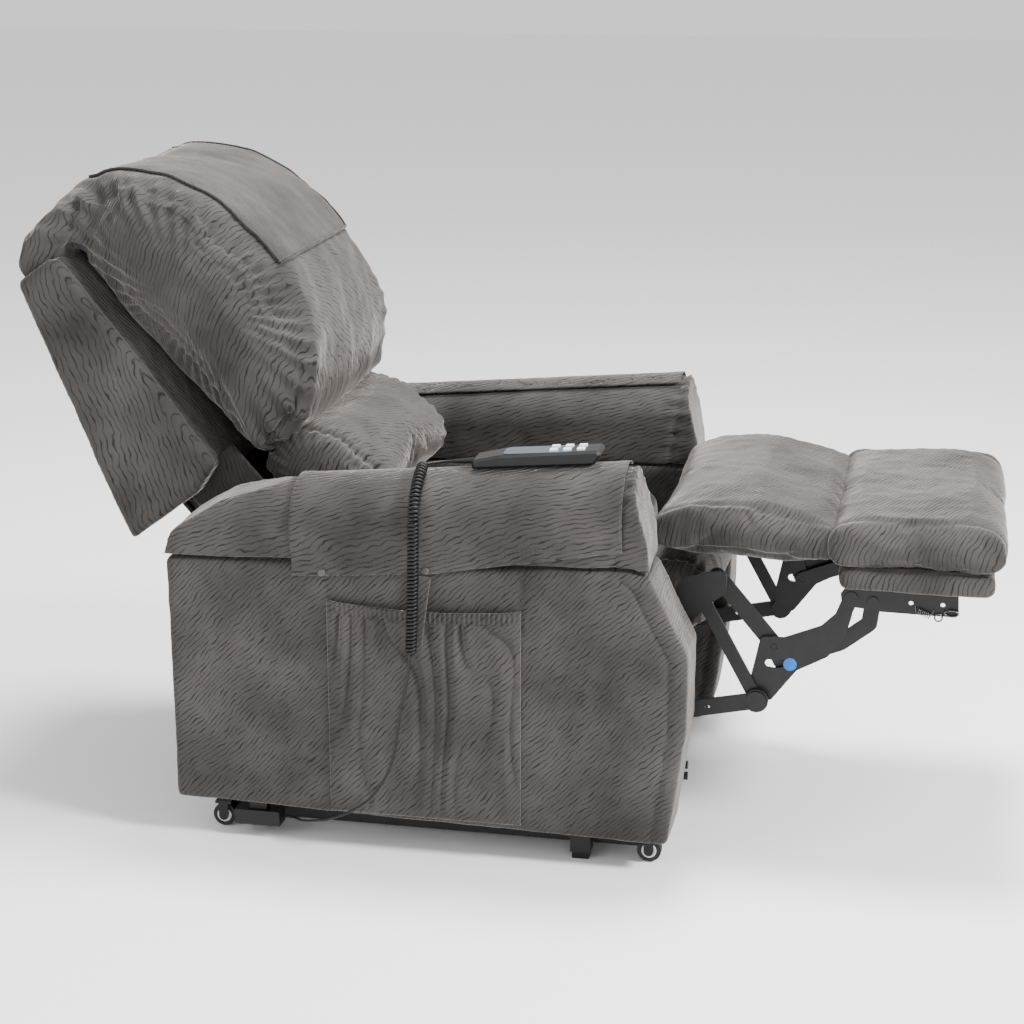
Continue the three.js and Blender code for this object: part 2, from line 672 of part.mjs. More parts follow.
// the long link: a broad plate with a cranked neck up to the footboard
pair('long_link', (side) => {
  const [x0, x1] = flat(LAYER.mol, side);
  const web = plate(rounded([
    [-548, 254, 8], [-548, 300, 8], [-562, 369, 10], [-600, 369, 8], [-659, 393, 10],
    [-680, 414, 5], [-710, 424, 5], [-697, 373, 12], [-671, 341, 12], [-622, 314, 10],
    [-582, 260, 10],
  ]), x0, x1);
  const eyes = [LOW_PIVOT, MID_PIVOT].map((p) => pin(p, 18, x0, x1, 12));
  let link = join([web, ...eyes, pin(BOARD_PIVOT, 15, x0, x1, 12),
    bar([[-688, 400], BOARD_PIVOT], 12, x0, x1)]);
  link = drill(link, MID_PIVOT, HOLE_R);
  link = drill(link, BOARD_PIVOT, HOLE_R);
  link = link.subtract(arcSlot(MID_PIVOT, INNER_PIVOT, 38, 7.2));
  const shank = pin(LOW_PIVOT, PIN_R, side * LAYER.mol, side * (LAYER.drive + PLATE + 0.8));
  const head = pin(LOW_PIVOT, 17, side * (LAYER.drive + PLATE + 0.4), side * (LAYER.side - 1), 14);
  return join([link, shank, head]);
}, blackSteel);

// a slot that lets a pin swing about a centre, through a whole plate
function arcSlot(centre, start, degrees, radius) {
  const steps = 5;
  const holes = [];
  for (let i = 0; i <= steps; i += 1) {
    const turn = THREE.MathUtils.degToRad(degrees * i / steps);
    const dy = start[0] - centre[0];
    const dz = start[1] - centre[1];
    holes.push(pin([
      centre[0] + dy * Math.cos(turn) - dz * Math.sin(turn),
      centre[1] + dy * Math.sin(turn) + dz * Math.cos(turn),
    ], radius, -500, 500));
  }
  return join(holes);
}

pair('rear_link', (side) => {
  const [x0, x1] = flat(LAYER.rol, side);
  const strap = bar([REAR_PIVOT, LOW_PIVOT], 11, x0, x1);
  const eye = pin(LOW_PIVOT, OPEN_HOLE_R + 5, x0, x1, 12);
  return drill(drill(strap.add(eye), REAR_PIVOT, HOLE_R), LOW_PIVOT, OPEN_HOLE_R, 12);
}, blackSteel);

pair('board_link', (side) => {
  const [x0, x1] = flat(LAYER.lol, side);
  const elbow = [-735, 398];
  let link = bar([INNER_PIVOT, [-690, 362], elbow, BOARD_PIVOT_2], 13, x0, x1);
  link = link.add(pin(BOARD_PIVOT_2, OPEN_HOLE_R + 5, x0, x1, 12));
  link = drill(link, INNER_PIVOT, HOLE_R);
  return drill(link, BOARD_PIVOT_2, OPEN_HOLE_R, 12);
}, blackSteel);

const BOARD = { rear: -685, front: -930, low: 461, high: 498, half: 262 };
pair('board_bracket', (side) => {
  const [x0, x1] = flat(LAYER.rol, side);
  const web = plate(rounded([
    [-688, 452, 4], [-694, 460.7, 2], [-874, 460.7, 2], [-876, 424, 6], [-752, 426, 6],
    [-744, 428, 4], [-692, 432, 6],
  ]), x0, x1);
  const flange = box(side * LAYER.rol, side * (LAYER.rol - 18), -870, -762, 457.7, 460.7);
  let solid = join([web, pin(BOARD_PIVOT, 16, x0, x1, 12), pin(BOARD_PIVOT_2, 15, x0, x1, 12)]);
  solid = solid.subtract(box(-300, 300, -900, -600, 460.7, 480));
  solid = drill(drill(solid, [-800, 443], 4), [-850, 443], 4);
  return join([
    solid, flange,
    pin(BOARD_PIVOT, PIN_R, side * LAYER.mol, side * (LAYER.rol + 1)),
    pin(BOARD_PIVOT, 12, side * (LAYER.rol + 2), side * (LAYER.drive + 1), 12),
    pin(BOARD_PIVOT_2, PIN_R, side * LAYER.lol, side * (LAYER.rol + 1)),
    pin(BOARD_PIVOT_2, 9, side * (LAYER.rol + 2), side * (LAYER.drive + 1), 12),
  ]);
}, blackSteel);

part('footboard', cushion([
  [BOARD.rear, BOARD.low, 14], [BOARD.rear + 4, BOARD.high, 4], [BOARD.front, BOARD.high, 4],
  [BOARD.front - 2, BOARD.low, 14],
], BOARD.half, 8, 2, 1), velvet());

part('foot_pad', cushion([
  [-674, 500, 25], [-674, 572, 30], [-926, 578, 34], [-936, 499, 27],
], 267, 12), velvet());

part('calf_pad', cushion([
  [-384, 508, 25], [-384, 562, 34], [-440, 588, 50], [-520, 594, 60], [-610, 572, 50],
  [-667, 562, 24], [-667, 504, 20], [-600, 500, 0],
], 255, 12), velvet());

// torque shaft with the cranks that push both sides out together
function driveShaft() {
  const solids = [
    pin(CRANK_PIVOT, SHAFT_R, -LAYER.rol - PLATE, LAYER.rol + PLATE, 12),
  ];
  for (const [, side] of SIDES) {
    solids.push(bar([CRANK_PIVOT, CRANK_END], 14, ...flat(LAYER.rol, side)));
    solids.push(pin(CRANK_END, PIN_R, side * (LAYER.rol + 1), side * (LAYER.drive + PLATE + 1)));
    const cheek = bar([CRANK_PIVOT, CRANK_TIP], 13, side * 12, side * 17);
    solids.push(cheek);
  }
  solids.push(pin(CRANK_TIP, PIN_R, -13, 13));
  return join(solids);
}
part('footrest_shaft', driveShaft(), blackSteel());

// the lower link between the shaft's crank and the long link
const DRIVE_EYE_R = 15;
pair('drive_link', (side) => {
  const [x0, x1] = flat(LAYER.drive, side);
  let link = bar([CRANK_END, LOW_PIVOT], 14, x0, x1);
  link = link.add(pin(LOW_PIVOT, DRIVE_EYE_R + 5, x0, x1, 16));
  link = drill(link, CRANK_END, HOLE_R);
  link = drill(link, [-479, 244.5], 4);
  return drill(link, LOW_PIVOT, DRIVE_EYE_R, 14);
}, blackSteel);

const [footMotor, footRod] = actuator(FOOT_MOTOR, CRANK_TIP, {
  bodyLength: 300, gearbox: -22, engaged: 30, slot: { ahead: 2, run: -33, radius: 9.5 },
});
part('footrest_motor', footMotor, blackPlastic());
part('footrest_rod', footRod, brightSteel());

// ---- handset, its cord and the control box ------------------------------------
const CONTROL = { x0: -378, x1: -346, y0: 222, y1: 300, low: 24, high: 50 };
function controlBox() {
  const body = box(CONTROL.x0, CONTROL.x1, CONTROL.y0, CONTROL.y1, CONTROL.low, CONTROL.high);
  const hanger = box(CONTROL.x0 + 8, CONTROL.x1 - 8, 246, 276, CONTROL.high - 1, 65);
  return join([body, hanger]);
}
part('control_box', controlBox(), blackPlastic());

const HANDSET = { length: 209, width: 55, thick: 23, rear: -107 };
const handset = new THREE.Group();
handset.position.set(HANDSET_X, HANDSET.rear, rollTop(HANDSET.rear) + 5.4);
handset.rotation.x = Math.atan(ROLL_SLOPE);
drawing.add(handset);

const BUTTONS = { rows: 3, columns: 2, pitch: 22, size: 12, first: 176, travel: 1.5 };
function handsetBody() {
  const half = HANDSET.width / 2;
  let solid = softBlock([
    [0, 0, 5], [0, 14, 6], [-46, 21, 10], [-HANDSET.length + 4, HANDSET.thick, 5],
    [-HANDSET.length, HANDSET.thick - 8, 5], [-HANDSET.length + 12, 0, 8],
  ], -half, half, 4, 2, 1);
  eachButton((x, y) => {
    const reach = BUTTONS.size / 2 + 0.5;
    solid = solid.subtract(box(x - reach, x + reach, y - reach, y + reach,
      HANDSET.thick - 8, 40));
  });
  return solid;
}

function eachButton(make) {
  for (let row = 0; row < BUTTONS.rows; row += 1) {
    for (let column = 0; column < BUTTONS.columns; column += 1) {
      const x = (column - 0.5) * BUTTONS.pitch;
      const y = -BUTTONS.first + row * BUTTONS.pitch;
      make(x, y, `handset_button_${row + 1}_${column === 0 ? 'a' : 'b'}`);
    }
  }
}

part('handset', handsetBody(), blackPlastic(), handset);
eachButton((x, y, name) => {
  const half = BUTTONS.size / 2;
  const low = HANDSET.thick - 8 + BUTTONS.travel + 0.5;
  part(name, box(x - half, x + half, y - half, y + half, low, HANDSET.thick + 2.5),
    material(0xc9ccd0, 0.5), handset);
});

// the tapered sleeve where the cord leaves the handset
const sleeve = new THREE.CylinderGeometry(3.4, 5.2, 34, 12);
sleeve.translate(0, 17 + GAP, 8);
part('strain_relief', toSolid(sleeve), rubber(), handset);

// the curly cord lies over the arm and hangs down outside it
const COIL_REST = ROLL_BULGE - ROLL_MID + CAP.thick + GAP + COIL_R + 3;
function coilPath() {
  const points = [];
  const y = -28;
  const centre = rollTop(y) - (ROLL_BULGE - ROLL_MID);
  for (let i = 0; i <= 6; i += 1) {
    const angle = THREE.MathUtils.degToRad(8 + 82 * i / 6);
    points.push([-ROLL_MID - COIL_REST * Math.sin(angle), y, centre + COIL_REST * Math.cos(angle)]);
  }
  points.push([-ROLL_MID - COIL_REST - 1, y + 2, 470]);
  points.push([-ROLL_MID - COIL_REST - 1, y + 6, 362]);
  return points;
}
// the short straight lead from the strain relief to the coil
const CORD_LEAD = [
  [-330, -71.7, 662.7], [-330.3, -62, 661.9], [-334, -49, 660.8], [-341, -37, 660.6],
  [-350, -28, 660.6],
];
part('cord_coil', join([wire(coilPath(), COIL_R, 16, 5), wire(CORD_LEAD, CORD_R, 8, 4)]),
  rubber());

const CORD_TAIL = [
  [-424.5, -22, 361.7], [-424.5, -20, 345], [-422, -2, 262], [-419, 16, 170], [-416, 48, 112],
  [-413.5, 86, 80], [-412, 124, 62], [-402, 152, 52], [-386, 178, 43], [-367, 196, 38],
  [-362, 208, 37], [-362, 221.5, 37],
];
part('cord_tail', wire(CORD_TAIL, CORD_R, 34, 4), rubber());

export default chair;
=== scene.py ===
"""Looks of the lift recliner chair: crinkle-velvet upholstery, linkage, handset and curly cord."""
import math

import bmesh
import bpy
import numpy as np
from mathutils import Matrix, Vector, noise
from mathutils.bvhtree import BVHTree


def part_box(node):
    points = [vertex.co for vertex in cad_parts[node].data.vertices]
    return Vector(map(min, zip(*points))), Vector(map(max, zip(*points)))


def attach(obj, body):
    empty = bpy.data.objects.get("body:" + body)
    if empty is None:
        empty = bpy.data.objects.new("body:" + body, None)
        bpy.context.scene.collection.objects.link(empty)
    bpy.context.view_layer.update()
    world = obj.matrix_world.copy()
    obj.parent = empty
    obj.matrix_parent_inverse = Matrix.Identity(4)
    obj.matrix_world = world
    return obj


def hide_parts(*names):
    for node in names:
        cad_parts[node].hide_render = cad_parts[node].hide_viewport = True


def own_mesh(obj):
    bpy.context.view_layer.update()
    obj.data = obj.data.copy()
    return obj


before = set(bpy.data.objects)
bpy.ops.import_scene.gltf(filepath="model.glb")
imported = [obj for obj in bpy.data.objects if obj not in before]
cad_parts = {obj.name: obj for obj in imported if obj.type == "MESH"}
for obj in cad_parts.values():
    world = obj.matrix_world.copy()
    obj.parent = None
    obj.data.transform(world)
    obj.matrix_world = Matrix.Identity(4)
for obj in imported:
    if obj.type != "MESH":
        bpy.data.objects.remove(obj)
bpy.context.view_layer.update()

# ---- sizes ----------------------------------------------------------------------
SHIFT = 125.0            # the drawing's zero is this far in front of the frame's, mm
LEAN = math.radians(42)  # the back leans this far from upright
RECLINE = (250.0, 430.0)
ARM_MID = 335.0          # middle of an arm roll, from the chair's middle
ROLL_R = 74.0
ROLL_SLOPE = -0.086
CORD_D = 0.0045
COIL_R = 0.0075          # radius of the curly cord's centreline
COIL_PITCH = 0.0062
VOXEL = 0.006
HANDSET_X = -330
CAP_INNER = -40          # the arm cover starts this far inside the roll's crest
CLOTH = 0.002            # thickness of a single cloth


def at(x, y, z):
    """A point of the drawing, in millimetres, as a point of the frame in metres."""
    return Vector((x, y + SHIFT, z)) / 1000


def back_point(x, up, ahead):
    """A point on the leaning back: height along it and depth in front of it, in mm."""
    y = RECLINE[0] + up * math.sin(LEAN) - ahead * math.cos(LEAN)
    z = RECLINE[1] + up * math.cos(LEAN) + ahead * math.sin(LEAN)
    return at(x, y, z)


BACK_UP = Vector((0, math.sin(LEAN), math.cos(LEAN)))
BACK_AHEAD = Vector((0, -math.cos(LEAN), math.sin(LEAN)))


def roll_top(y):
    return 674 + ROLL_SLOPE * (y + 360)


# ---- camera and light -------------------------------------------------------------
def add_camera():
    azimuth = math.radians(-78.5)
    elevation = math.radians(16)
    behind = Vector((math.sin(azimuth) * math.cos(elevation),
                     -math.cos(azimuth) * math.cos(elevation), math.sin(elevation)))
    data = bpy.data.cameras.new("camera")
    data.sensor_width = 36
    data.lens = 77
    camera = bpy.data.objects.new("camera", data)
    camera.location = at(0, -100, 487) + behind * 3.85
    camera.rotation_euler = (-behind).to_track_quat("-Z", "Y").to_euler()
    bpy.context.scene.collection.objects.link(camera)
    bpy.context.scene.camera = camera


def add_light(name, place, size, power, colour=(1, 1, 1)):
    data = bpy.data.lights.new(name, "AREA")
    data.shape = "DISK"
    data.size = size
    data.energy = power
    data.color = colour
    lamp = bpy.data.objects.new(name, data)
    lamp.location = place
    lamp.rotation_euler = (Vector((0, 0, 0.5)) - Vector(place)).to_track_quat("-Z", "Y").to_euler()
    bpy.context.scene.collection.objects.link(lamp)


def add_studio():
    world = bpy.data.worlds.new("world")
    world.use_nodes = True
    world.node_tree.nodes["Background"].inputs[0].default_value = (1, 1, 1, 1)
    world.node_tree.nodes["Background"].inputs[1].default_value = 1.05
    bpy.context.scene.world = world
    add_light("key", (-1.5, -3.6, 3.2), 1.0, 380)
    add_light("fill", (-3.0, 2.4, 1.8), 2.6, 50)
    add_light("top", (0.6, -0.2, 4.4), 1.4, 330)
    bpy.ops.mesh.primitive_plane_add(size=40)
    floor = bpy.context.object
    floor.name = "floor"
    paint = new_material("floor_paint", (0.93, 0.93, 0.93), 0.7)
    floor.data.materials.append(paint)


# ---- materials --------------------------------------------------------------------
def new_material(name, colour, roughness, metallic=0.0):
    made = bpy.data.materials.new(name)
    made.use_nodes = True
    shader = made.node_tree.nodes["Principled BSDF"]
    shader.inputs["Base Color"].default_value = (*colour, 1)
    shader.inputs["Roughness"].default_value = roughness
    shader.inputs["Metallic"].default_value = metallic
    return made


class Nodes:
    """Short names for building a material's nodes."""

    def __init__(self, made):
        self.tree = made.node_tree
        self.shader = self.tree.nodes["Principled BSDF"]

    def add(self, kind, **values):
        node = self.tree.nodes.new(kind)
        for key, value in values.items():
            if hasattr(node, key):
                setattr(node, key, value)
            else:
                node.inputs[key.replace("_", " ")].default_value = value
        return node

    def link(self, source, target):
        self.tree.links.new(source, target)

    def ramp(self, source, stops):
        node = self.tree.nodes.new("ShaderNodeValToRGB")
        while len(node.color_ramp.elements) < len(stops):
            node.color_ramp.elements.new(0.5)
        for element, (place, colour) in zip(node.color_ramp.elements, stops):
            element.position = place
            element.color = (*colour, 1)
        self.link(source, node.inputs[0])
        return node.outputs[0]

    def math(self, operation, a, b):
        node = self.tree.nodes.new("ShaderNodeMath")
        node.operation = operation
        for socket, value in zip(node.inputs, (a, b)):
            if isinstance(value, (int, float)):
                socket.default_value = value
            else:
                self.link(value, socket)
        return node.outputs[0]


VELVET = (0.025, 0.0226, 0.0214)
VELVET_LIT = (0.068, 0.0620, 0.0585)
# painted shade: the near-black colour of the crinkle crease lines
VELVET_CREASE_SHADE = (0.0075, 0.0068, 0.0064)


def velvet(name, along, across, tone=1.0, pitch=0.0068):
    """Crinkle velvet. Wavy creases run along one direction, a pitch apart across it, darkened with
    painted shade.
    """
    made = new_material(name, VELVET, 0.85)
    n = Nodes(made)
    run = Vector(along).normalized()
    step = Vector(across).normalized()
    place = n.add("ShaderNodeTexCoord").outputs["Object"]

    def measured(direction, scale):
        dot = n.add("ShaderNodeVectorMath", operation="DOT_PRODUCT")
        n.link(place, dot.inputs[0])
        dot.inputs[1].default_value = tuple(direction * scale)
        return dot.outputs["Value"]

    def cloudy(scale, detail=2.0):
        node = n.add("ShaderNodeTexNoise", Scale=scale, Detail=detail, Roughness=0.5)
        n.link(place, node.inputs["Vector"])
        return node.outputs[0]

    # the creases wander together over a hand's width, and waver on their own over a finger's
    wander = n.math("MULTIPLY", cloudy(7.0, 1.0), 4.5)
    waver = n.math("MULTIPLY", cloudy(50.0, 1.0), 1.25)
    phase = n.math("ADD", measured(step, 1 / pitch), n.math("ADD", wander, waver))
    line = n.math("PINGPONG", phase, 0.5)
    broken = n.add("ShaderNodeCombineXYZ")
    n.link(measured(run, 38.0), broken.inputs[0])
    n.link(phase, broken.inputs[1])
    gaps = n.add("ShaderNodeTexNoise", Scale=1.0, Detail=1.0)
    n.link(broken.outputs[0], gaps.inputs["Vector"])
    thin = n.math("MULTIPLY", n.math("SUBTRACT", gaps.outputs[0], 0.47), 0.55)
    # ridge is the crease's height for the bump and also the mask of the painted shade in the creases
    ridge = n.ramp(n.math("ADD", line, thin),
                   [(0.0, (0.1,) * 3), (0.06, (0.45,) * 3), (0.17, (1, 1, 1))])
    fuzz = cloudy(1100.0)

    dark = tuple(c * tone for c in VELVET)
    lit = tuple(c * tone for c in VELVET_LIT)
    pile = n.ramp(cloudy(7.5, 4.0), [(0.28, dark), (0.74, lit)])
    base = n.add("ShaderNodeMix", data_type="RGBA", blend_type="MIX")
    n.link(ridge, base.inputs["Factor"])
    coloured = [socket for socket in base.inputs if socket.type == "RGBA"]
    # painted shade: the crease lines take the near-black colour
    coloured[0].default_value = (*VELVET_CREASE_SHADE, 1)
    n.link(pile, coloured[1])
    n.link([socket for socket in base.outputs if socket.type == "RGBA"][0],
           n.shader.inputs["Base Color"])

    height = n.math("ADD", ridge, n.math("MULTIPLY", fuzz, 0.22))
    bump = n.add("ShaderNodeBump", Strength=0.6, Distance=0.0012)
    n.link(height, bump.inputs["Height"])
    n.link(bump.outputs["Normal"], n.shader.inputs["Normal"])
    n.shader.inputs["Sheen Weight"].default_value = 0.7
    n.shader.inputs["Sheen Roughness"].default_value = 0.32
    n.shader.inputs["Sheen Tint"].default_value = (0.62, 0.57, 0.53, 1)
    n.shader.inputs["Specular IOR Level"].default_value = 0.2
    return made


def painted_steel():
    made = new_material("black_coat", (0.012, 0.012, 0.013), 0.42, 0.1)
    n = Nodes(made)
    place = n.add("ShaderNodeTexCoord").outputs["Object"]
    grain = n.add("ShaderNodeTexNoise", Scale=420.0, Detail=2.0)
    n.link(place, grain.inputs["Vector"])
    scuff = n.add("ShaderNodeTexNoise", Scale=24.0, Detail=5.0, Roughness=0.7)
    n.link(place, scuff.inputs["Vector"])
    coat = [(0.35, (0.0035, 0.0035, 0.004)), (0.75, (0.012, 0.012, 0.013))]
    n.link(n.ramp(scuff.outputs["Fac"], coat), n.shader.inputs["Base Color"])
    n.link(n.ramp(scuff.outputs["Fac"], [(0.3, (0.34,) * 3), (0.7, (0.55,) * 3)]),
           n.shader.inputs["Roughness"])
    bump = n.add("ShaderNodeBump", Strength=0.25, Distance=0.0004)
    n.link(grain.outputs["Fac"], bump.inputs["Height"])
    n.link(bump.outputs["Normal"], n.shader.inputs["Normal"])
    n.shader.inputs["Specular IOR Level"].default_value = 0.3
    return made


def moulded(name, colour, roughness, scale=600.0, strength=0.2):
    made = new_material(name, colour, roughness)
    n = Nodes(made)
    n.shader.inputs["Specular IOR Level"].default_value = 0.3
    place = n.add("ShaderNodeTexCoord").outputs["Object"]
    grain = n.add("ShaderNodeTexNoise", Scale=scale, Detail=2.0)
    n.link(place, grain.inputs["Vector"])
    light = tuple(min(1.0, c * 1.4 + 0.002) for c in colour)
    n.link(n.ramp(grain.outputs["Fac"], [(0.3, colour), (0.8, light)]),
           n.shader.inputs["Base Color"])
    bump = n.add("ShaderNodeBump", Strength=strength, Distance=0.0003)
    n.link(grain.outputs["Fac"], bump.inputs["Height"])
    n.link(bump.outputs["Normal"], n.shader.inputs["Normal"])
    return made


def bare_steel(name="bare_steel", colour=(0.55, 0.56, 0.58)):
    made = new_material(name, colour, 0.28, 1.0)
    n = Nodes(made)
    place = n.add("ShaderNodeTexCoord").outputs["Object"]
    brushed = n.add("ShaderNodeMapping")
    brushed.inputs["Scale"].default_value = (900, 60, 900)
    n.link(place, brushed.inputs["Vector"])
    grain = n.add("ShaderNodeTexNoise", Scale=1.0, Detail=3.0)
    n.link(brushed.outputs[0], grain.inputs["Vector"])
    n.link(n.ramp(grain.outputs["Fac"], [(0.3, (0.22,) * 3), (0.7, (0.42,) * 3)]),
           n.shader.inputs["Roughness"])
    return made


# ---- mesh helpers -----------------------------------------------------------------
def mesh_object(name, vertices, faces, smooth=True):
    mesh = bpy.data.meshes.new(name)
    mesh.from_pydata([tuple(v) for v in vertices], [], faces)
    mesh.validate()
    mesh.update()
    made = bpy.data.objects.new(name, mesh)
    bpy.context.scene.collection.objects.link(made)
    if smooth:
        mesh.polygons.foreach_set("use_smooth", [True] * len(mesh.polygons))
    return made


def copy_node(node, name):
    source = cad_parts[node]
    made = bpy.data.objects.new(name, source.data.copy())
    made.data.transform(source.matrix_world)
    made.data.materials.clear()
    bpy.context.scene.collection.objects.link(made)
    return made


def apply_modifiers(piece):
    bpy.context.view_layer.objects.active = piece
    for other in bpy.context.selected_objects:
        other.select_set(False)
    piece.select_set(True)
    for modifier in list(piece.modifiers):
        bpy.ops.object.modifier_apply(modifier=modifier.name)


def smooth_shade(piece):
    piece.data.polygons.foreach_set("use_smooth", [True] * len(piece.data.polygons))


def coordinates(piece):
    flat = np.zeros(len(piece.data.vertices) * 3)
    piece.data.vertices.foreach_get("co", flat)
    return flat.reshape(-1, 3)


def normals(piece):
    flat = np.zeros(len(piece.data.vertices) * 3, dtype=np.float32)
    piece.data.vertex_normals.foreach_get("vector", flat)
    return flat.reshape(-1, 3).astype(float)


def put(piece, places):
    piece.data.vertices.foreach_set("co", places.reshape(-1))
    piece.data.update()


def remeshed(node, name, voxel=VOXEL, shrink=0.0, smooth=4, shaped=None):
    """A copy of a soft CAD solid in even voxels, drawn in from its surface by shrink.
    shaped(piece) alters the copy before it is cut into voxels."""
    piece = copy_node(node, name)
    if shaped:
        shaped(piece)
    modifier = piece.modifiers.new("remesh", "REMESH")
    modifier.mode = "VOXEL"
    modifier.voxel_size = voxel
    if smooth:
        relax = piece.modifiers.new("smooth", "SMOOTH")
        relax.iterations = smooth
        relax.factor = 0.5
    apply_modifiers(piece)
    if shrink:
        put(piece, coordinates(piece) - normals(piece) * shrink)
    smooth_shade(piece)
    return piece


def reaching(front, rear):
    """Lengthens a pad to run between two of the drawing's depths."""
    def shaped(piece):
        places = coordinates(piece)
        low, high = places[:, 1].min(), places[:, 1].max()
        start, end = (front + SHIFT) / 1000, (rear + SHIFT) / 1000
        places[:, 1] = start + (places[:, 1] - low) / (high - low) * (end - start)
        put(piece, places)
    return shaped


def inflate(piece, pressure=4.0, cap=0.024, frames=20):
    """Cloth simulation of a stuffed cover: air pressure from inside, no gravity."""
    rest = coordinates(piece)
    cloth = piece.modifiers.new("cloth", "CLOTH")
    settings = cloth.settings
    settings.quality = 4
    settings.mass = 0.35
    settings.tension_stiffness = 18
    settings.compression_stiffness = 12
    settings.shear_stiffness = 6
    settings.bending_stiffness = 0.6
    settings.use_pressure = True
    settings.uniform_pressure_force = pressure
    settings.effector_weights.gravity = 0
    cloth.point_cache.frame_start = 1
    cloth.point_cache.frame_end = frames
    scene = bpy.context.scene
    for step in range(1, frames + 1):
        scene.frame_set(step)
    shaped = piece.evaluated_get(bpy.context.evaluated_depsgraph_get())
    flat = np.zeros(len(piece.data.vertices) * 3)
    shaped.data.vertices.foreach_get("co", flat)
    moved = flat.reshape(-1, 3) - rest
    length = np.linalg.norm(moved, axis=1, keepdims=True)
    moved *= np.minimum(1.0, cap / np.maximum(length, 1e-9))
    piece.modifiers.remove(cloth)
    scene.frame_set(1)
    put(piece, rest + moved)


def subdivided(piece, levels=1):
    modifier = piece.modifiers.new("subdivide", "SUBSURF")
    modifier.levels = levels
    modifier.render_levels = levels
    apply_modifiers(piece)
    smooth_shade(piece)


def push(piece, amount):
    """Moves each vertex along its normal by amount(points, normals), in metres."""
    places = coordinates(piece)
    facing = normals(piece)
    put(piece, places + facing * amount(places, facing)[:, None])


def bump_noise(points, scale, seed=0.0):
    scaled = points * scale + seed
    return np.array([noise.noise(Vector(p)) for p in scaled])


def seam(distance, width, depth):
    """A sewn groove: how far the cloth is drawn in at this distance from its line."""
    return -depth * np.exp(-(distance / width) ** 2)


def folds(phase, sharpness=2.0):
    """Gathered folds: rounded ridges with narrow valleys, from -1 to 0."""
    return -np.abs(np.sin(phase)) ** sharpness


def finish_fabric(piece, body, node, look):
    piece.data.materials.clear()
    piece.data.materials.append(look)
    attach(piece, body)
    if node:
        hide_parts(node)
    return piece


def wire_curve(name, points, radius, cyclic=False, resolution=3):
    """A round bar through points, as a curve object."""
    curve = bpy.data.curves.new(name, "CURVE")
    curve.dimensions = "3D"
    curve.bevel_depth = radius
    curve.bevel_resolution = resolution
    curve.use_fill_caps = True
    line = curve.splines.new("POLY")
    line.points.add(len(points) - 1)
    for point, place in zip(line.points, points):
        point.co = (*place, 1)
    line.use_cyclic_u = cyclic
    made = bpy.data.objects.new(name, curve)
    bpy.context.scene.collection.objects.link(made)
    return made


def smooth_path(points, samples):
    """A centripetal curve through points, evenly sampled along its length."""
    p = [Vector(q) for q in points]
    p = [p[0] * 2 - p[1]] + p + [p[-1] * 2 - p[-2]]
    fine = []
    for i in range(1, len(p) - 2):
        for step in range(24):
            t = step / 24
            a, b, c, d = p[i - 1:i + 3]
            fine.append(0.5 * ((2 * b) + (c - a) * t + (2 * a - 5 * b + 4 * c - d) * t * t
                               + (3 * b - a - 3 * c + d) * t ** 3))
    fine.append(p[-2])
    lengths = [0.0]
    for a, b in zip(fine, fine[1:]):
        lengths.append(lengths[-1] + (b - a).length)
    out = []
    j = 0
    for i in range(samples):
        wanted = lengths[-1] * i / (samples - 1)
        while j < len(lengths) - 2 and lengths[j + 1] < wanted:
            j += 1
        span = max(lengths[j + 1] - lengths[j], 1e-9)
        out.append(fine[j].lerp(fine[j + 1], (wanted - lengths[j]) / span))
    return out, lengths[-1]


# ---- handset cord -----------------------------------------------------------------
CORD_LEAD = [
    (-330, -71.7, 662.7), (-330.3, -62, 661.9), (-334, -49, 660.8), (-341, -37, 660.6),
    (-350, -28, 660.6),
]
CORD_TAIL = [
    (-424.5, -22, 361.7), (-424.5, -20, 345), (-422, -2, 262), (-419, 16, 170), (-416, 48, 112),
    (-413.5, 86, 80), (-412, 124, 62), (-402, 152, 52), (-386, 178, 43), (-367, 196, 38),
    (-362, 208, 37), (-362, 221.5, 37),
]


def coil_middle():
    """The line down the middle of the curly cord: over the arm, then straight down."""
    reach = ROLL_R + 3 + 0.3 + 10 + 3
    y = -28
    centre = roll_top(y) - ROLL_R
    points = []
    for i in range(7):
        angle = math.radians(8 + 82 * i / 6)
        points.append(at(-ARM_MID - reach * math.sin(angle), y, centre + reach * math.cos(angle)))
    points.append(at(-ARM_MID - reach - 1, y + 2, 470))
    points.append(at(-ARM_MID - reach - 1, y + 6, 362))
    return points


def soften(points, joints):
    """Rounds the bends where the straight cord meets its coil."""
    for _ in range(8):
        for joint in joints:
            for i in range(joint - 6, joint + 6):
                points[i] = (points[i - 1] + points[i] * 2 + points[i + 1]) / 4
    return points


def add_cord(look):
    # the coil starts at the lead's last point
    lead, _ = smooth_path([at(*p) for p in CORD_LEAD[:-1]], 12)
    tail, _ = smooth_path([at(*p) for p in CORD_TAIL], 44)
    per_turn = 14
    _, length = smooth_path(coil_middle(), 4)
    turns = int(length / COIL_PITCH)
    middle, _ = smooth_path(coil_middle(), turns * per_turn + 1)
    helix = []
    side = Vector((0, 1, 0))
    for i, place in enumerate(middle):
        a = middle[max(i - 1, 0)]
        b = middle[min(i + 1, len(middle) - 1)]
        along = (b - a).normalized()
        across = along.cross(side).normalized()
        turn = 2 * math.pi * i / per_turn
        ends = min(i, len(middle) - 1 - i) / (per_turn * 2)
        radius = COIL_R * min(1.0, 0.45 + 0.55 * ends)
        slack = 1 + 0.035 * math.sin(i / per_turn * 1.7)
        helix.append(place + (side * math.cos(turn) + across * math.sin(turn)) * radius * slack)
    points = soften(lead + helix + tail[1:], (len(lead), len(lead) + len(helix)))
    cord = wire_curve("handset_cord", points, CORD_D / 2)
    cord.data.materials.append(look)
    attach(cord, "chassis")
    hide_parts("cord_coil", "cord_tail")


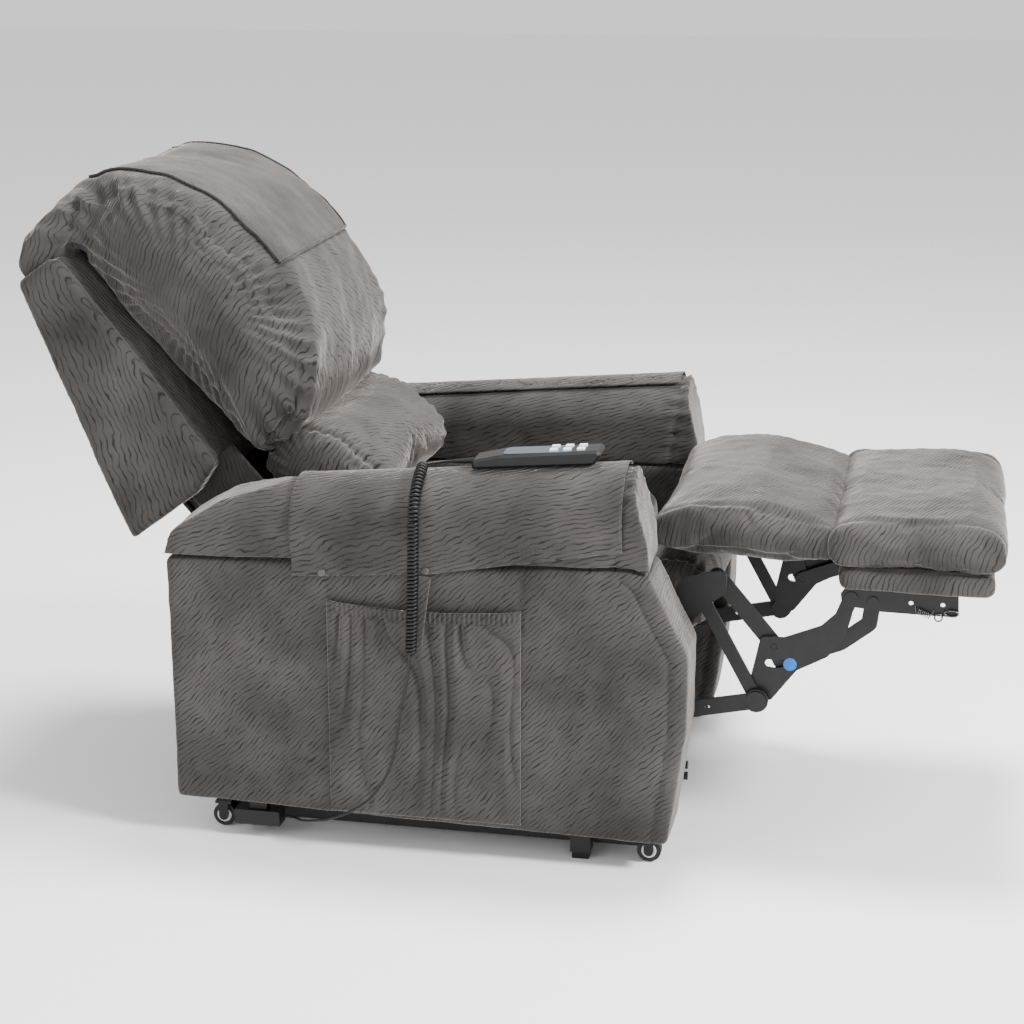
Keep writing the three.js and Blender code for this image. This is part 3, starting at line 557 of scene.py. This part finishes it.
def node_shape(node):
    """A CAD node's surface at rest, for finding places on it."""
    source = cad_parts[node]
    made = bmesh.new()
    made.from_mesh(source.data)
    made.transform(source.matrix_world)
    tree = BVHTree.FromBMesh(made)
    made.free()
    return tree


def piece_shape(piece):
    made = bmesh.new()
    made.from_mesh(piece.data)
    made.transform(piece.matrix_world)
    tree = BVHTree.FromBMesh(made)
    made.free()
    return tree


def drawn(points):
    """Frame points in metres as drawing coordinates in millimetres."""
    mm = points * 1000
    return mm[:, 0], mm[:, 1] - SHIFT, mm[:, 2]


def on_back(points):
    """Frame points in metres as the back's own sideways, up and ahead, in millimetres."""
    x, y, z = drawn(points)
    dy = y - RECLINE[0]
    dz = z - RECLINE[1]
    up = dy * math.sin(LEAN) + dz * math.cos(LEAN)
    ahead = -dy * math.cos(LEAN) + dz * math.sin(LEAN)
    return x, up, ahead


def line_distance(a, b, line):
    """Distance of the plane points (a, b) from a polyline."""
    best = np.full(len(a), 1e9)
    for (a0, b0), (a1, b1) in zip(line, line[1:]):
        da, db = a1 - a0, b1 - b0
        t = np.clip(((a - a0) * da + (b - b0) * db) / (da * da + db * db), 0, 1)
        best = np.minimum(best, np.hypot(a - a0 - t * da, b - b0 - t * db))
    return best


def outline_distance(a, b, corners):
    return line_distance(a, b, corners + corners[:1])


def thick_sheet(name, point, columns, rows, thickness):
    """A cloth of two faces: point(u, v) gives the under face and its outward direction."""
    under, upper = [], []
    for j in range(rows + 1):
        for i in range(columns + 1):
            place, outward = point(i / columns, j / rows)
            under.append(place)
            upper.append(place + outward * thickness)
    count = len(under)
    faces = []
    wide = columns + 1
    for j in range(rows):
        for i in range(columns):
            a = j * wide + i
            quad = [a, a + 1, a + wide + 1, a + wide]
            faces.append([q + count for q in quad])
            faces.append(quad[::-1])
    edge = ([i for i in range(wide)] + [j * wide + columns for j in range(1, rows + 1)]
            + [rows * wide + i for i in range(columns - 1, -1, -1)]
            + [j * wide for j in range(rows - 1, 0, -1)])
    for a, b in zip(edge, edge[1:] + edge[:1]):
        faces.append([a, b, b + count, a + count][::-1])
    made = mesh_object(name, under + upper, faces)
    tidy = bmesh.new()
    tidy.from_mesh(made.data)
    bmesh.ops.recalc_face_normals(tidy, faces=tidy.faces)
    tidy.to_mesh(made.data)
    tidy.free()
    smooth_shade(made)
    return made


def stitches(name, path, body, look, stitch=0.0045, gap=0.0025, radius=0.00045):
    """A run of machine stitches along a path, lying on the cloth."""
    curve = bpy.data.curves.new(name, "CURVE")
    curve.dimensions = "3D"
    curve.bevel_depth = radius
    curve.bevel_resolution = 1
    curve.use_fill_caps = True
    _, length = smooth_path(path, 4)
    step = stitch + gap
    count = max(2, int(length / step))
    points, _ = smooth_path(path, count * 2 + 1)
    for i in range(count):
        a, b = points[2 * i], points[2 * i + 1]
        line = curve.splines.new("POLY")
        line.points.add(1)
        line.points[0].co = (*a, 1)
        line.points[1].co = (*(a + (b - a) * 1.25), 1)
    made = bpy.data.objects.new(name, curve)
    bpy.context.scene.collection.objects.link(made)
    made.data.materials.append(look)
    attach(made, body)
    return made


def lathe(name, axis_point, axis, profile, look, body, segments=32):
    """A turned piece: profile is [(along the axis, radius)] in millimetres."""
    axis = Vector(axis).normalized()
    side = axis.orthogonal().normalized()
    other = axis.cross(side)
    vertices, faces = [], []
    for along, radius in profile:
        for k in range(segments):
            turn = 2 * math.pi * k / segments
            ray = side * math.cos(turn) + other * math.sin(turn)
            vertices.append(Vector(axis_point) + (axis * along + ray * radius) / 1000)
    for j in range(len(profile) - 1):
        for k in range(segments):
            a, b = j * segments + k, j * segments + (k + 1) % segments
            faces.append([a, b, b + segments, a + segments])
    faces.append(list(range(segments))[::-1])
    faces.append([len(vertices) - segments + k for k in range(segments)])
    made = mesh_object(name, vertices, faces)
    made.data.materials.append(look)
    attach(made, body)
    return made


# ---- upholstery -------------------------------------------------------------------
def crumple(points, seed, fine=0.0012, broad=0.003):
    """The uneven lie of crushed velvet over foam."""
    return (broad * bump_noise(points, 9, seed)
            + fine * bump_noise(points, 34, seed + 3.3))


HEAD = [(178, 98), (620, 100), (682, 176), (664, 268), (560, 330), (400, 346), (250, 316),
        (180, 220)]


# the bolster's stuffing where it turns over the top of the back shell
WRAP_FILL = [(632, 10), (660, 14), (690, 50), (702, 110), (698, 180), (640, 215), (600, 160),
             (632, 112)]


def prism(outline, half):
    """A solid with an outline in the back's up and ahead, from -half to half across."""
    vertices = [back_point(x, up, ahead) for x in (-half, half) for up, ahead in outline]
    n = len(outline)
    faces = [[i, (i + 1) % n, n + (i + 1) % n, n + i] for i in range(n)]
    faces += [list(range(n))[::-1], list(range(n, 2 * n))]
    made = mesh_object("prism", vertices, faces, smooth=False)
    tidy = bmesh.new()
    tidy.from_mesh(made.data)
    bmesh.ops.recalc_face_normals(tidy, faces=tidy.faces)
    tidy.to_mesh(made.data)
    tidy.free()
    return made


def join_into(piece, extra):
    """Adds one mesh to another; voxel remeshing then makes them one body."""
    both = bmesh.new()
    both.from_mesh(piece.data)
    both.from_mesh(extra.data)
    both.to_mesh(piece.data)
    both.free()
    bpy.data.objects.remove(extra)


def add_head_bolster(look):
    def shaped(piece):
        places = coordinates(piece)
        _, up, _ = on_back(places)
        drop = 0.11 * np.clip(430 - up, 0, None) / 1000
        put(piece, places - drop[:, None] * np.array(BACK_UP))
        fill = prism(WRAP_FILL, 272)
        join_into(piece, fill)

    piece = remeshed("head_bolster", "head_bolster_cover", shrink=0.005, shaped=shaped)
    inflate(piece, pressure=2.5, cap=0.018)

    def dress(points, _):
        x, up, ahead = on_back(points)
        rim = outline_distance(up, ahead, HEAD)
        away = np.hypot(np.minimum(np.abs(x) - 264, 0), rim * (np.abs(x) > 250))
        turn = np.arctan2(ahead - 215, up - 430) * 190
        gathers = folds(turn / 9 + 0.9 * np.sin(turn / 37) + 0.012 * rim, 1.2)
        spread = np.where(np.abs(x) > 264, 60, 34)
        return (seam(away, 6, 0.010) + 0.012 * gathers * np.exp(-(away / spread) ** 2)
                + crumple(points, 1.0, 0.0018, 0.007))
    push(piece, dress)
    subdivided(piece)
    return finish_fabric(piece, "back", "head_bolster", look)


def add_lumbar_bolster(look):
    piece = remeshed("lumbar_bolster", "lumbar_bolster_cover", shrink=0.001)
    inflate(piece, pressure=2.5, cap=0.018)

    def dress(points, _):
        x, up, ahead = on_back(points)
        away = np.abs(np.abs(x) - 220)
        turn = np.arctan2(ahead - 160, up - 70) * 100
        ruche = folds(turn / 7 + 0.6 * np.sin(turn / 23)) * np.exp(-(away / 24) ** 2)
        return seam(away, 5, 0.007) + 0.007 * ruche + crumple(points, 5.0, 0.0014, 0.004)
    push(piece, dress)
    subdivided(piece)
    finish_fabric(piece, "back", "lumbar_bolster", look)
    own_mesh(piece)


def add_seat_cushion(look):
    piece = remeshed("seat_cushion", "seat_cushion_cover", shrink=0.003)
    inflate(piece, cap=0.022)

    def dress(points, _):
        x, y, z = drawn(points)
        edge = outline_distance(x, y, [(-246, -334), (246, -334), (246, 186), (-246, 186)])
        return (seam(np.hypot(edge, z - 462), 5, 0.005)
                + crumple(points, 8.0, 0.0012, 0.004))
    push(piece, dress)
    subdivided(piece)
    return finish_fabric(piece, "chassis", "seat_cushion", look)


def add_seat_roll(look):
    piece = remeshed("seat_front_roll", "seat_front_roll_cover", shrink=0.003)
    inflate(piece, cap=0.022)

    def dress(points, _):
        x, y, z = drawn(points)
        away = np.abs(np.abs(x) - 190)
        turn = np.arctan2(z - 416, y + 418) * 68
        ruche = folds(turn / 6.5 + 0.7 * np.sin(turn / 19)) * np.exp(-(away / 26) ** 2)
        return seam(away, 5, 0.006) + 0.007 * ruche + crumple(points, 12.0, 0.0014, 0.004)
    push(piece, dress)
    subdivided(piece)
    return finish_fabric(piece, "chassis", "seat_front_roll", look)


def add_foot_pads(look):
    calf = remeshed("calf_pad", "calf_pad_cover", shrink=0.003, shaped=reaching(-688, -378))
    inflate(calf, pressure=1.4, cap=0.010)
    foot = remeshed("foot_pad", "foot_pad_cover", shrink=0.003, shaped=reaching(-950, -660))
    inflate(foot, pressure=1.4, cap=0.010)

    def dress(points, _):
        x, y, _ = drawn(points)
        away = np.abs(np.abs(x) - 236)
        ruche = folds(y / 7 + 0.8 * np.sin(y / 27)) * np.exp(-(away / 24) ** 2)
        return seam(away, 5, 0.003) + 0.0014 * ruche + crumple(points, 15.0, 0.0012, 0.004)
    for piece in (calf, foot):
        push(piece, dress)
        subdivided(piece)
    finish_fabric(calf, "calf_pad", "calf_pad", look)
    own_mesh(calf)
    finish_fabric(foot, "footboard", "foot_pad", look)


def add_footboard(look):
    piece = remeshed("footboard", "footboard_cover", shrink=0.001)
    push(piece, lambda points, _: crumple(points, 18.0, 0.001, 0.0015))
    return finish_fabric(piece, "footboard", "footboard", look)


def add_seat_box(look):
    piece = remeshed("seat_box", "seat_box_cover", shrink=0.001)
    push(piece, lambda points, _: crumple(points, 21.0, 0.0008, 0.001))
    return finish_fabric(piece, "chassis", "seat_box", look)


def add_back_shell(look):
    piece = remeshed("back_shell", "back_shell_cover", shrink=0.001, smooth=2)

    def dress(points, _):
        x, up, _ = on_back(points)
        return (seam(np.abs(np.abs(x) - 262), 5, 0.003)
                + crumple(points, 24.0, 0.0012, 0.002))
    push(piece, dress)
    return finish_fabric(piece, "back", "back_shell", look)


PANEL_FRONT_SEAM = [(-352, 500), (-372, 488), (-412, 410), (-433, 372), (-433, 250), (-408, 55)]


def add_side_panels(look):
    for name, side in (("side_panel_right", -1), ("side_panel_left", 1)):
        piece = remeshed(name, name + "_cover", shrink=0.001, smooth=3)

        def dress(points, facing, side=side):
            x, y, z = drawn(points)
            outer = np.clip(np.abs(facing[:, 0]) * 2 - 1, 0, 1)
            band = line_distance(y, z, PANEL_FRONT_SEAM)
            posts = np.minimum(line_distance(y, z, [(125, 400), (125, 512)]),
                               line_distance(y, z, [(-195, 400), (-195, 512)]))
            pull = folds((y * 0.55 + z * 0.83) / 14) * np.exp(-(band / 34) ** 2) * 0.0016
            rim = np.minimum(line_distance(y, z, [(-436, 52), (397, 70)]), 30) / 30
            return (seam(band, 4, 0.005) * outer + pull * outer
                    + seam(posts, 4, 0.0035) * outer * (x < 0)
                    + outer * 0.002 * rim + crumple(points, 27.0 + side, 0.0011, 0.0016))
        push(piece, dress)
        finish_fabric(piece, "chassis", name, look)


def add_arm_rolls(look):
    for name, seed in (("arm_roll_right", 31.0), ("arm_roll_left", 34.0)):
        piece = remeshed(name, name + "_cover", shrink=0.0025, smooth=4)

        def dress(points, _, seed=seed):
            x, y, z = drawn(points)
            away = np.abs(y + 352 + 0.12 * (z - 600))
            turn = np.arctan2(np.abs(x) - ARM_MID, z - roll_top(y) + ROLL_R) * ROLL_R
            wraps = folds(turn / 8 + 0.7 * np.sin(turn / 29)) * np.exp(-(away / 26) ** 2)
            return seam(away, 4, 0.004) + wraps * 0.0035 + crumple(points, seed, 0.001, 0.0022)
        push(piece, dress)
        finish_fabric(piece, "chassis", name, look)


def roll_skin(side, y, reach):
    """A point on an arm roll, reach millimetres outward over it from its crest, and the
    direction away from the roll there."""
    turned = 118.6
    angle = min(reach / ROLL_R, math.radians(turned))
    across = math.sin(angle) * ROLL_R
    drop = ROLL_R - math.cos(angle) * ROLL_R
    outward = Vector((side * math.sin(angle), 0, math.cos(angle)))
    extra = reach - angle * ROLL_R
    if extra > 0:
        slope = Vector((60 - across, 0, -(170 - drop))).normalized()
        across += slope.x * extra
        drop -= slope.z * extra
        outward = Vector((side * -slope.z, 0, slope.x)).normalized()
    return at(side * (ARM_MID + across), y, roll_top(y) - drop), outward


CAP_FRONT, CAP_REAR = -356, 180
CAP_HEM = [(-356, 548), (-50, 494), (150, 478), (180, 478)]


def cap_reach(side, y):
    """How far over the roll the arm cap's hem hangs at y."""
    hem = float(np.interp(y, [a for a, _ in CAP_HEM], [b for _, b in CAP_HEM]))
    low, high = 60.0, 240.0
    for _ in range(24):
        middle = (low + high) / 2
        if roll_skin(side, y, middle)[0].z * 1000 > hem:
            low = middle
        else:
            high = middle
    return low


def add_arm_caps(look, thread):
    for side, word in ((-1, "right"), (1, "left")):
        roll = node_shape(f"arm_roll_{word}")

        def cloth(u, v, side=side, lift=0.0012):
            y = CAP_FRONT + (CAP_REAR - CAP_FRONT) * u
            reach = CAP_INNER + (cap_reach(side, y) - CAP_INNER) * v
            place, outward = roll_skin(side, y, reach)
            ripple = noise.noise(place * 22 + Vector((side, 0, 0))) * 0.0011
            hem = 0.0012 if v > 0.93 or u < 0.03 or u > 0.97 else 0
            return place + outward * (lift + abs(ripple) + hem * 0.5), outward

        cap = thick_sheet(f"arm_cap_{word}_cloth", cloth, 110, 56, CLOTH)
        finish_fabric(cap, "chassis", f"arm_cap_{word}", look)
        for row in (0.90, 0.93):
            path = [cloth(u / 40, row)[0] + cloth(u / 40, row)[1] * 0.0022 for u in range(41)]
            stitches(f"cap_{word}_hem_{int(row * 100)}", path, "chassis", thread)
        length = (cap_reach(side, -50) - CAP_INNER) / 1000


def add_pocket(look, thread):
    front, rear, low, high = -195, 125, 72, 440

    def cloth(u, v):
        y = front + (rear - front) * u
        top = high - 9 * math.sin(math.pi * u)
        z = low + (top - low) * v
        side_edge = min(u, 1 - u)
        rise = min(1.0, side_edge / 0.07) ** 0.5 * min(1.0, v / 0.06) ** 0.5
        gather = 0.30 + 0.70 * v
        wander = 5.0 * noise.noise(Vector((u * 4, v * 1.8, 0.3)))
        fold = abs(math.sin((u - 0.5) * (19 + 9 * v) + wander)) ** 0.8
        small = 0.5 + 0.5 * math.sin(u * 83 + 2 * wander)
        depth = 1.2 + rise * (2.5 + 9.5 * fold * gather + 2.0 * small * gather)
        if v > 0.945:
            depth = 1.2 + rise * (8.5 + 1.4 * math.sin(u * 250))
        return at(-395.0 - depth, y, z), Vector((-1, 0, 0))

    pocket = thick_sheet("pocket_cloth", cloth, 230, 90, 0.0022)
    finish_fabric(pocket, "chassis", "side_pocket", look)
    path = [cloth(u / 60, 0.94)[0] + Vector((-0.0026, 0, 0)) for u in range(61)]
    row = stitches("pocket_elastic_row", path, "chassis", thread)


def add_head_cover(bolster, look, edge_look):
    shape = piece_shape(bolster)

    def cloth(u, v):
        x = -200 + 400 * u
        # from the front of the bolster, over its top, to the upper rear
        angle = math.radians(108 - 112 * v)
        far = back_point(x, 430 + 420 * math.cos(angle), 215 + 420 * math.sin(angle))
        aim = back_point(x, 430, 215)
        hit, _, _, _ = shape.ray_cast(far, (aim - far).normalized())
        outward = (far - aim).normalized()
        return (hit if hit is not None else aim) + outward * 0.0015, outward

    cover = thick_sheet("head_cover_cloth", cloth, 80, 70, 0.0022)
    smooth_sheet(cover)
    finish_fabric(cover, "back", "head_cover", look)
    lift = 0.0022
    rim = []
    for u in range(41):
        place, outward = cloth(u / 40, 0)
        rim.append(place + outward * lift)
    for v in range(1, 41):
        place, outward = cloth(1, v / 40)
        rim.append(place + outward * lift)
    near = []
    for v in range(41):
        place, outward = cloth(0, v / 40)
        near.append(place + outward * lift)
    piping = [wire_curve("head_cover_piping", rim, 0.0028),
              wire_curve("head_cover_piping_near", near, 0.0028)]
    for rope in piping:
        rope.data.materials.append(edge_look)
        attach(rope, "back")


SKIRT = {"half": 250, "ahead": 92, "behind": -46, "top": 214, "low": -8, "corner": 30}


def add_back_skirt(look):
    """The cloth that closes the lower back, from side to side around its frame, in the half-dark
    velvet copy: painted shade.
    """
    corners = []
    for cx, start in ((-SKIRT["half"] + SKIRT["corner"], 180),
                      (SKIRT["half"] - SKIRT["corner"], 270)):
        for k in range(9):
            turn = math.radians(start + 90 * k / 8)
            corners.append(Vector((cx + SKIRT["corner"] * math.cos(turn),
                                   SKIRT["behind"] + SKIRT["corner"] * (1 + math.sin(turn)), 0)))
    route = ([Vector((-SKIRT["half"], SKIRT["ahead"], 0))] + corners
             + [Vector((SKIRT["half"], SKIRT["ahead"], 0))])
    columns = 120
    plan, around = smooth_path(route, columns + 1)

    def cloth(u, v):
        here = plan[round(u * columns)]
        up = SKIRT["low"] + (SKIRT["top"] - SKIRT["low"]) * v
        middle = Vector((0, (SKIRT["ahead"] + SKIRT["behind"]) / 2, 0))
        outward = Vector((here.x / 4, here.y - middle.y, 0)).normalized()
        sway = 4 * (1 - v) * noise.noise(Vector((u * 22, v * 2.5, 7.7)))
        place = here + outward * sway
        aimed = Vector((1, 0, 0)) * outward.x + BACK_AHEAD * outward.y
        return back_point(place.x, up, place.y), aimed.normalized()

    skirt = thick_sheet("back_skirt", cloth, columns, 40, CLOTH)
    finish_fabric(skirt, "back", None, look)


def smooth_sheet(piece):
    relax = piece.modifiers.new("smooth", "SMOOTH")
    relax.iterations = 2
    relax.factor = 0.4
    apply_modifiers(piece)
    smooth_shade(piece)


# ---- small pieces -----------------------------------------------------------------
def add_studs_and_strap(look, metal):
    for name, y, z in (("stud_rear", 130, 480), ("stud_front", -41, 493)):
        lathe(name, at(-402.5, y, z + 6), (-1, 0, 0),
              [(0, 6.5), (1.6, 6.5), (2.6, 5.2), (3.0, 3)], metal, "chassis", 24)
    top = Vector((-41, 490))
    low = Vector((-23, 351))

    def cloth(u, v):
        y = top.x + (low.x - top.x) * v + (u - 0.5) * 20
        z = top.y + (low.y - top.y) * v
        bow = 9.5 + 4 * math.sin(v * math.pi) + 3 * v
        return at(-395 - bow, y, z), Vector((-1, 0, 0))
    strap = thick_sheet("hanging_strap", cloth, 10, 40, CLOTH)
    finish_fabric(strap, "chassis", None, look)


def add_hubs(look, dark):
    for node in [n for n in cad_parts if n.startswith("wheel_")]:
        corners = np.array(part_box(node))
        low, high = corners.min(axis=0), corners.max(axis=0)
        middle = (low + high) / 2
        side = -1 if middle[0] < 0 else 1
        radius = (high[2] - low[2]) * 500
        face = Vector((low[0] if side < 0 else high[0], middle[1], middle[2]))
        lathe(f"{node}_hub", face, (side, 0, 0),
              [(-1.0, radius * 0.62), (0.35, radius * 0.62), (0.55, radius * 0.52),
               (0.2, radius * 0.46), (0.2, radius * 0.2), (0.9, radius * 0.16)],
              look, node, 32)


def add_handset_face(look, label):
    shape = node_shape("handset")
    down = Vector((0, 0, -1))

    def plate(name, y0, y1, half, corner, lift, material):
        ring = []
        inset = half - corner
        for cx, cy, start in ((inset, y1 - corner, 0), (-inset, y1 - corner, 90),
                              (-inset, y0 + corner, 180), (inset, y0 + corner, 270)):
            for k in range(7):
                turn = math.radians(start + 15 * k)
                ring.append((HANDSET_X + cx + corner * math.cos(turn), cy + corner * math.sin(turn)))
        middle = (y0 + y1) / 2
        # the handset lies along the sloping arm, so its face slopes with it
        top = shape.ray_cast(at(HANDSET_X, middle, 760), down)[0].z
        under = [Vector((x / 1000, (y + SHIFT) / 1000,
                         top + ROLL_SLOPE * (y - middle) / 1000)) for x, y in ring]
        upper = [p + Vector((0, 0, lift / 1000)) for p in under]
        n = len(ring)
        faces = [[i, (i + 1) % n, n + (i + 1) % n, n + i] for i in range(n)]
        faces += [list(range(n))[::-1], [n + i for i in range(n)]]
        made = mesh_object(name, under + upper, faces, smooth=False)
        made.data.materials.append(material)
        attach(made, "chassis")
    plate("handset_face", -306, -156, 22.5, 9, 0.35, look)
    plate("handset_label", -190, -163, 13, 2, 0.6, label)


def add_blue_dot(look):
    lathe("blue_dot", at(-237.2, -611, 324), (-1, 0, 0), [(0, 11), (0.4, 11), (0.5, 10.5)],
          look, "long_links", 32)


def helix_points(start, end, radius, turns, per_turn=14):
    axis = (end - start).normalized()
    side = axis.orthogonal().normalized()
    other = axis.cross(side)
    points = []
    total = int(turns * per_turn)
    for i in range(total + 1):
        turn = 2 * math.pi * i / per_turn
        ray = side * math.cos(turn) + other * math.sin(turn)
        points.append(start.lerp(end, i / total) + ray * radius)
    return points


def add_springs(look):
    """The tension spring and the two wire hooks under each footboard bracket."""
    for side, word in ((-1, "right"), (1, "left")):
        x = side * 246
        start, end = at(x, -810, 434), at(x, -830, 425)
        spring = ([start + Vector((0, 0.004, 0.010))] + helix_points(start, end, 0.005, 7)
                  + [end + Vector((0, -0.006, 0.010))])
        ring = [at(x, -844 + 6 * math.cos(turn), 423 + 6 * math.sin(turn))
                for turn in (math.pi * k / 10 for k in range(5, 25))]
        loop = [at(x, -864 + 11 * math.cos(turn), 431 + 5 * math.sin(turn))
                for turn in (math.pi * k / 12 for k in range(4, 28))]
        for name, path, radius in (("spring", spring, 0.0008), ("ring", ring, 0.0014),
                                   ("loop", loop, 0.0014)):
            wire = wire_curve(f"board_{name}_{word}", path, radius, resolution=2)
            wire.data.materials.append(look)
            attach(wire, "footboard")


# ---- materials onto the CAD nodes ---------------------------------------------------
def paint_nodes(looks):
    steel = ("base_frame", "lift_front_frame", "lift_rear_frame", "chassis_side", "chassis_sub",
             "seat_frame", "back_frame", "front_link", "long_link", "rear_link", "board_link",
             "board_bracket", "footrest_shaft", "drive_link")
    for name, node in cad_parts.items():
        if name.startswith("wheel_"):
            look = looks["tyre"]
        elif name in ("lift_rod", "back_rod", "footrest_rod"):
            look = looks["rod"]
        elif name.startswith("handset_button"):
            look = looks["button"]
        elif name == "strain_relief":
            look = looks["cord"]
        elif name.startswith(steel):
            look = looks["steel"]
        elif name in ("power_supply", "control_box", "lift_motor", "back_motor",
                      "footrest_motor", "handset"):
            look = looks["plastic"]
        else:
            look = looks["velvet"]
        node.data.materials.clear()
        node.data.materials.append(look)


# ---- main -------------------------------------------------------------------------
add_camera()
cord_rubber = moulded("cord_sheath", (0.004, 0.004, 0.0045), 0.45)
add_cord(cord_rubber)
add_studio()

black = painted_steel()
plastic = moulded("black_moulding", (0.005, 0.005, 0.0055), 0.5)
bright = bare_steel()
side_velvet = velvet("velvet_side", (0, -0.72, 0.70), (0, 0.70, 0.72))
back_velvet = velvet("velvet_back", (0.1, 0.35, 0.93), (0.72, 0.65, -0.24), 0.9)
seat_velvet = velvet("velvet_seat", (0.8, -0.5, 0.3), (0.4, 0.85, 0.3))
arm_velvet = velvet("velvet_arm", (-0.35, -0.8, 0.45), (0.5, 0.3, 0.8))
cover_velvet = velvet("velvet_cover", (0.2, 0.9, 0.4), (0.98, -0.2, 0), 0.95)
# painted shade: a half-dark copy of the velvet, worn by the lower back skirt and the head cover's
# piping
painted_shade_velvet = velvet("velvet_painted_shade", (0, 0.3, 0.95), (0, 0.95, -0.3), 0.5)
thread = moulded("thread", (0.05, 0.045, 0.04), 0.7, 1500)
paint_nodes({
    "tyre": moulded("tyre", (0.012, 0.012, 0.012), 0.7, 300, 0.4),
    "rod": bright,
    "button": moulded("button", (0.62, 0.65, 0.68), 0.4),
    "cord": cord_rubber,
    "steel": black,
    "plastic": plastic,
    "velvet": side_velvet,
})

head = add_head_bolster(seat_velvet)
add_lumbar_bolster(seat_velvet)
add_seat_cushion(seat_velvet)
add_seat_roll(seat_velvet)
add_foot_pads(seat_velvet)
add_footboard(seat_velvet)
add_seat_box(side_velvet)
add_back_shell(back_velvet)
add_side_panels(side_velvet)
add_arm_rolls(arm_velvet)
add_arm_caps(arm_velvet, thread)
add_pocket(side_velvet, thread)
add_head_cover(head, cover_velvet, painted_shade_velvet)
add_back_skirt(painted_shade_velvet)

add_studs_and_strap(side_velvet, moulded("stud", (0.05, 0.048, 0.045), 0.35))
add_hubs(moulded("hub", (0.42, 0.43, 0.44), 0.5), black)
add_handset_face(moulded("handset_face", (0.045, 0.055, 0.068), 0.4),
                 moulded("handset_label", (0.5, 0.52, 0.54), 0.5))
add_blue_dot(moulded("dot", (0.003, 0.11, 0.34), 0.5))
add_springs(bare_steel("spring_steel", (0.10, 0.10, 0.105)))
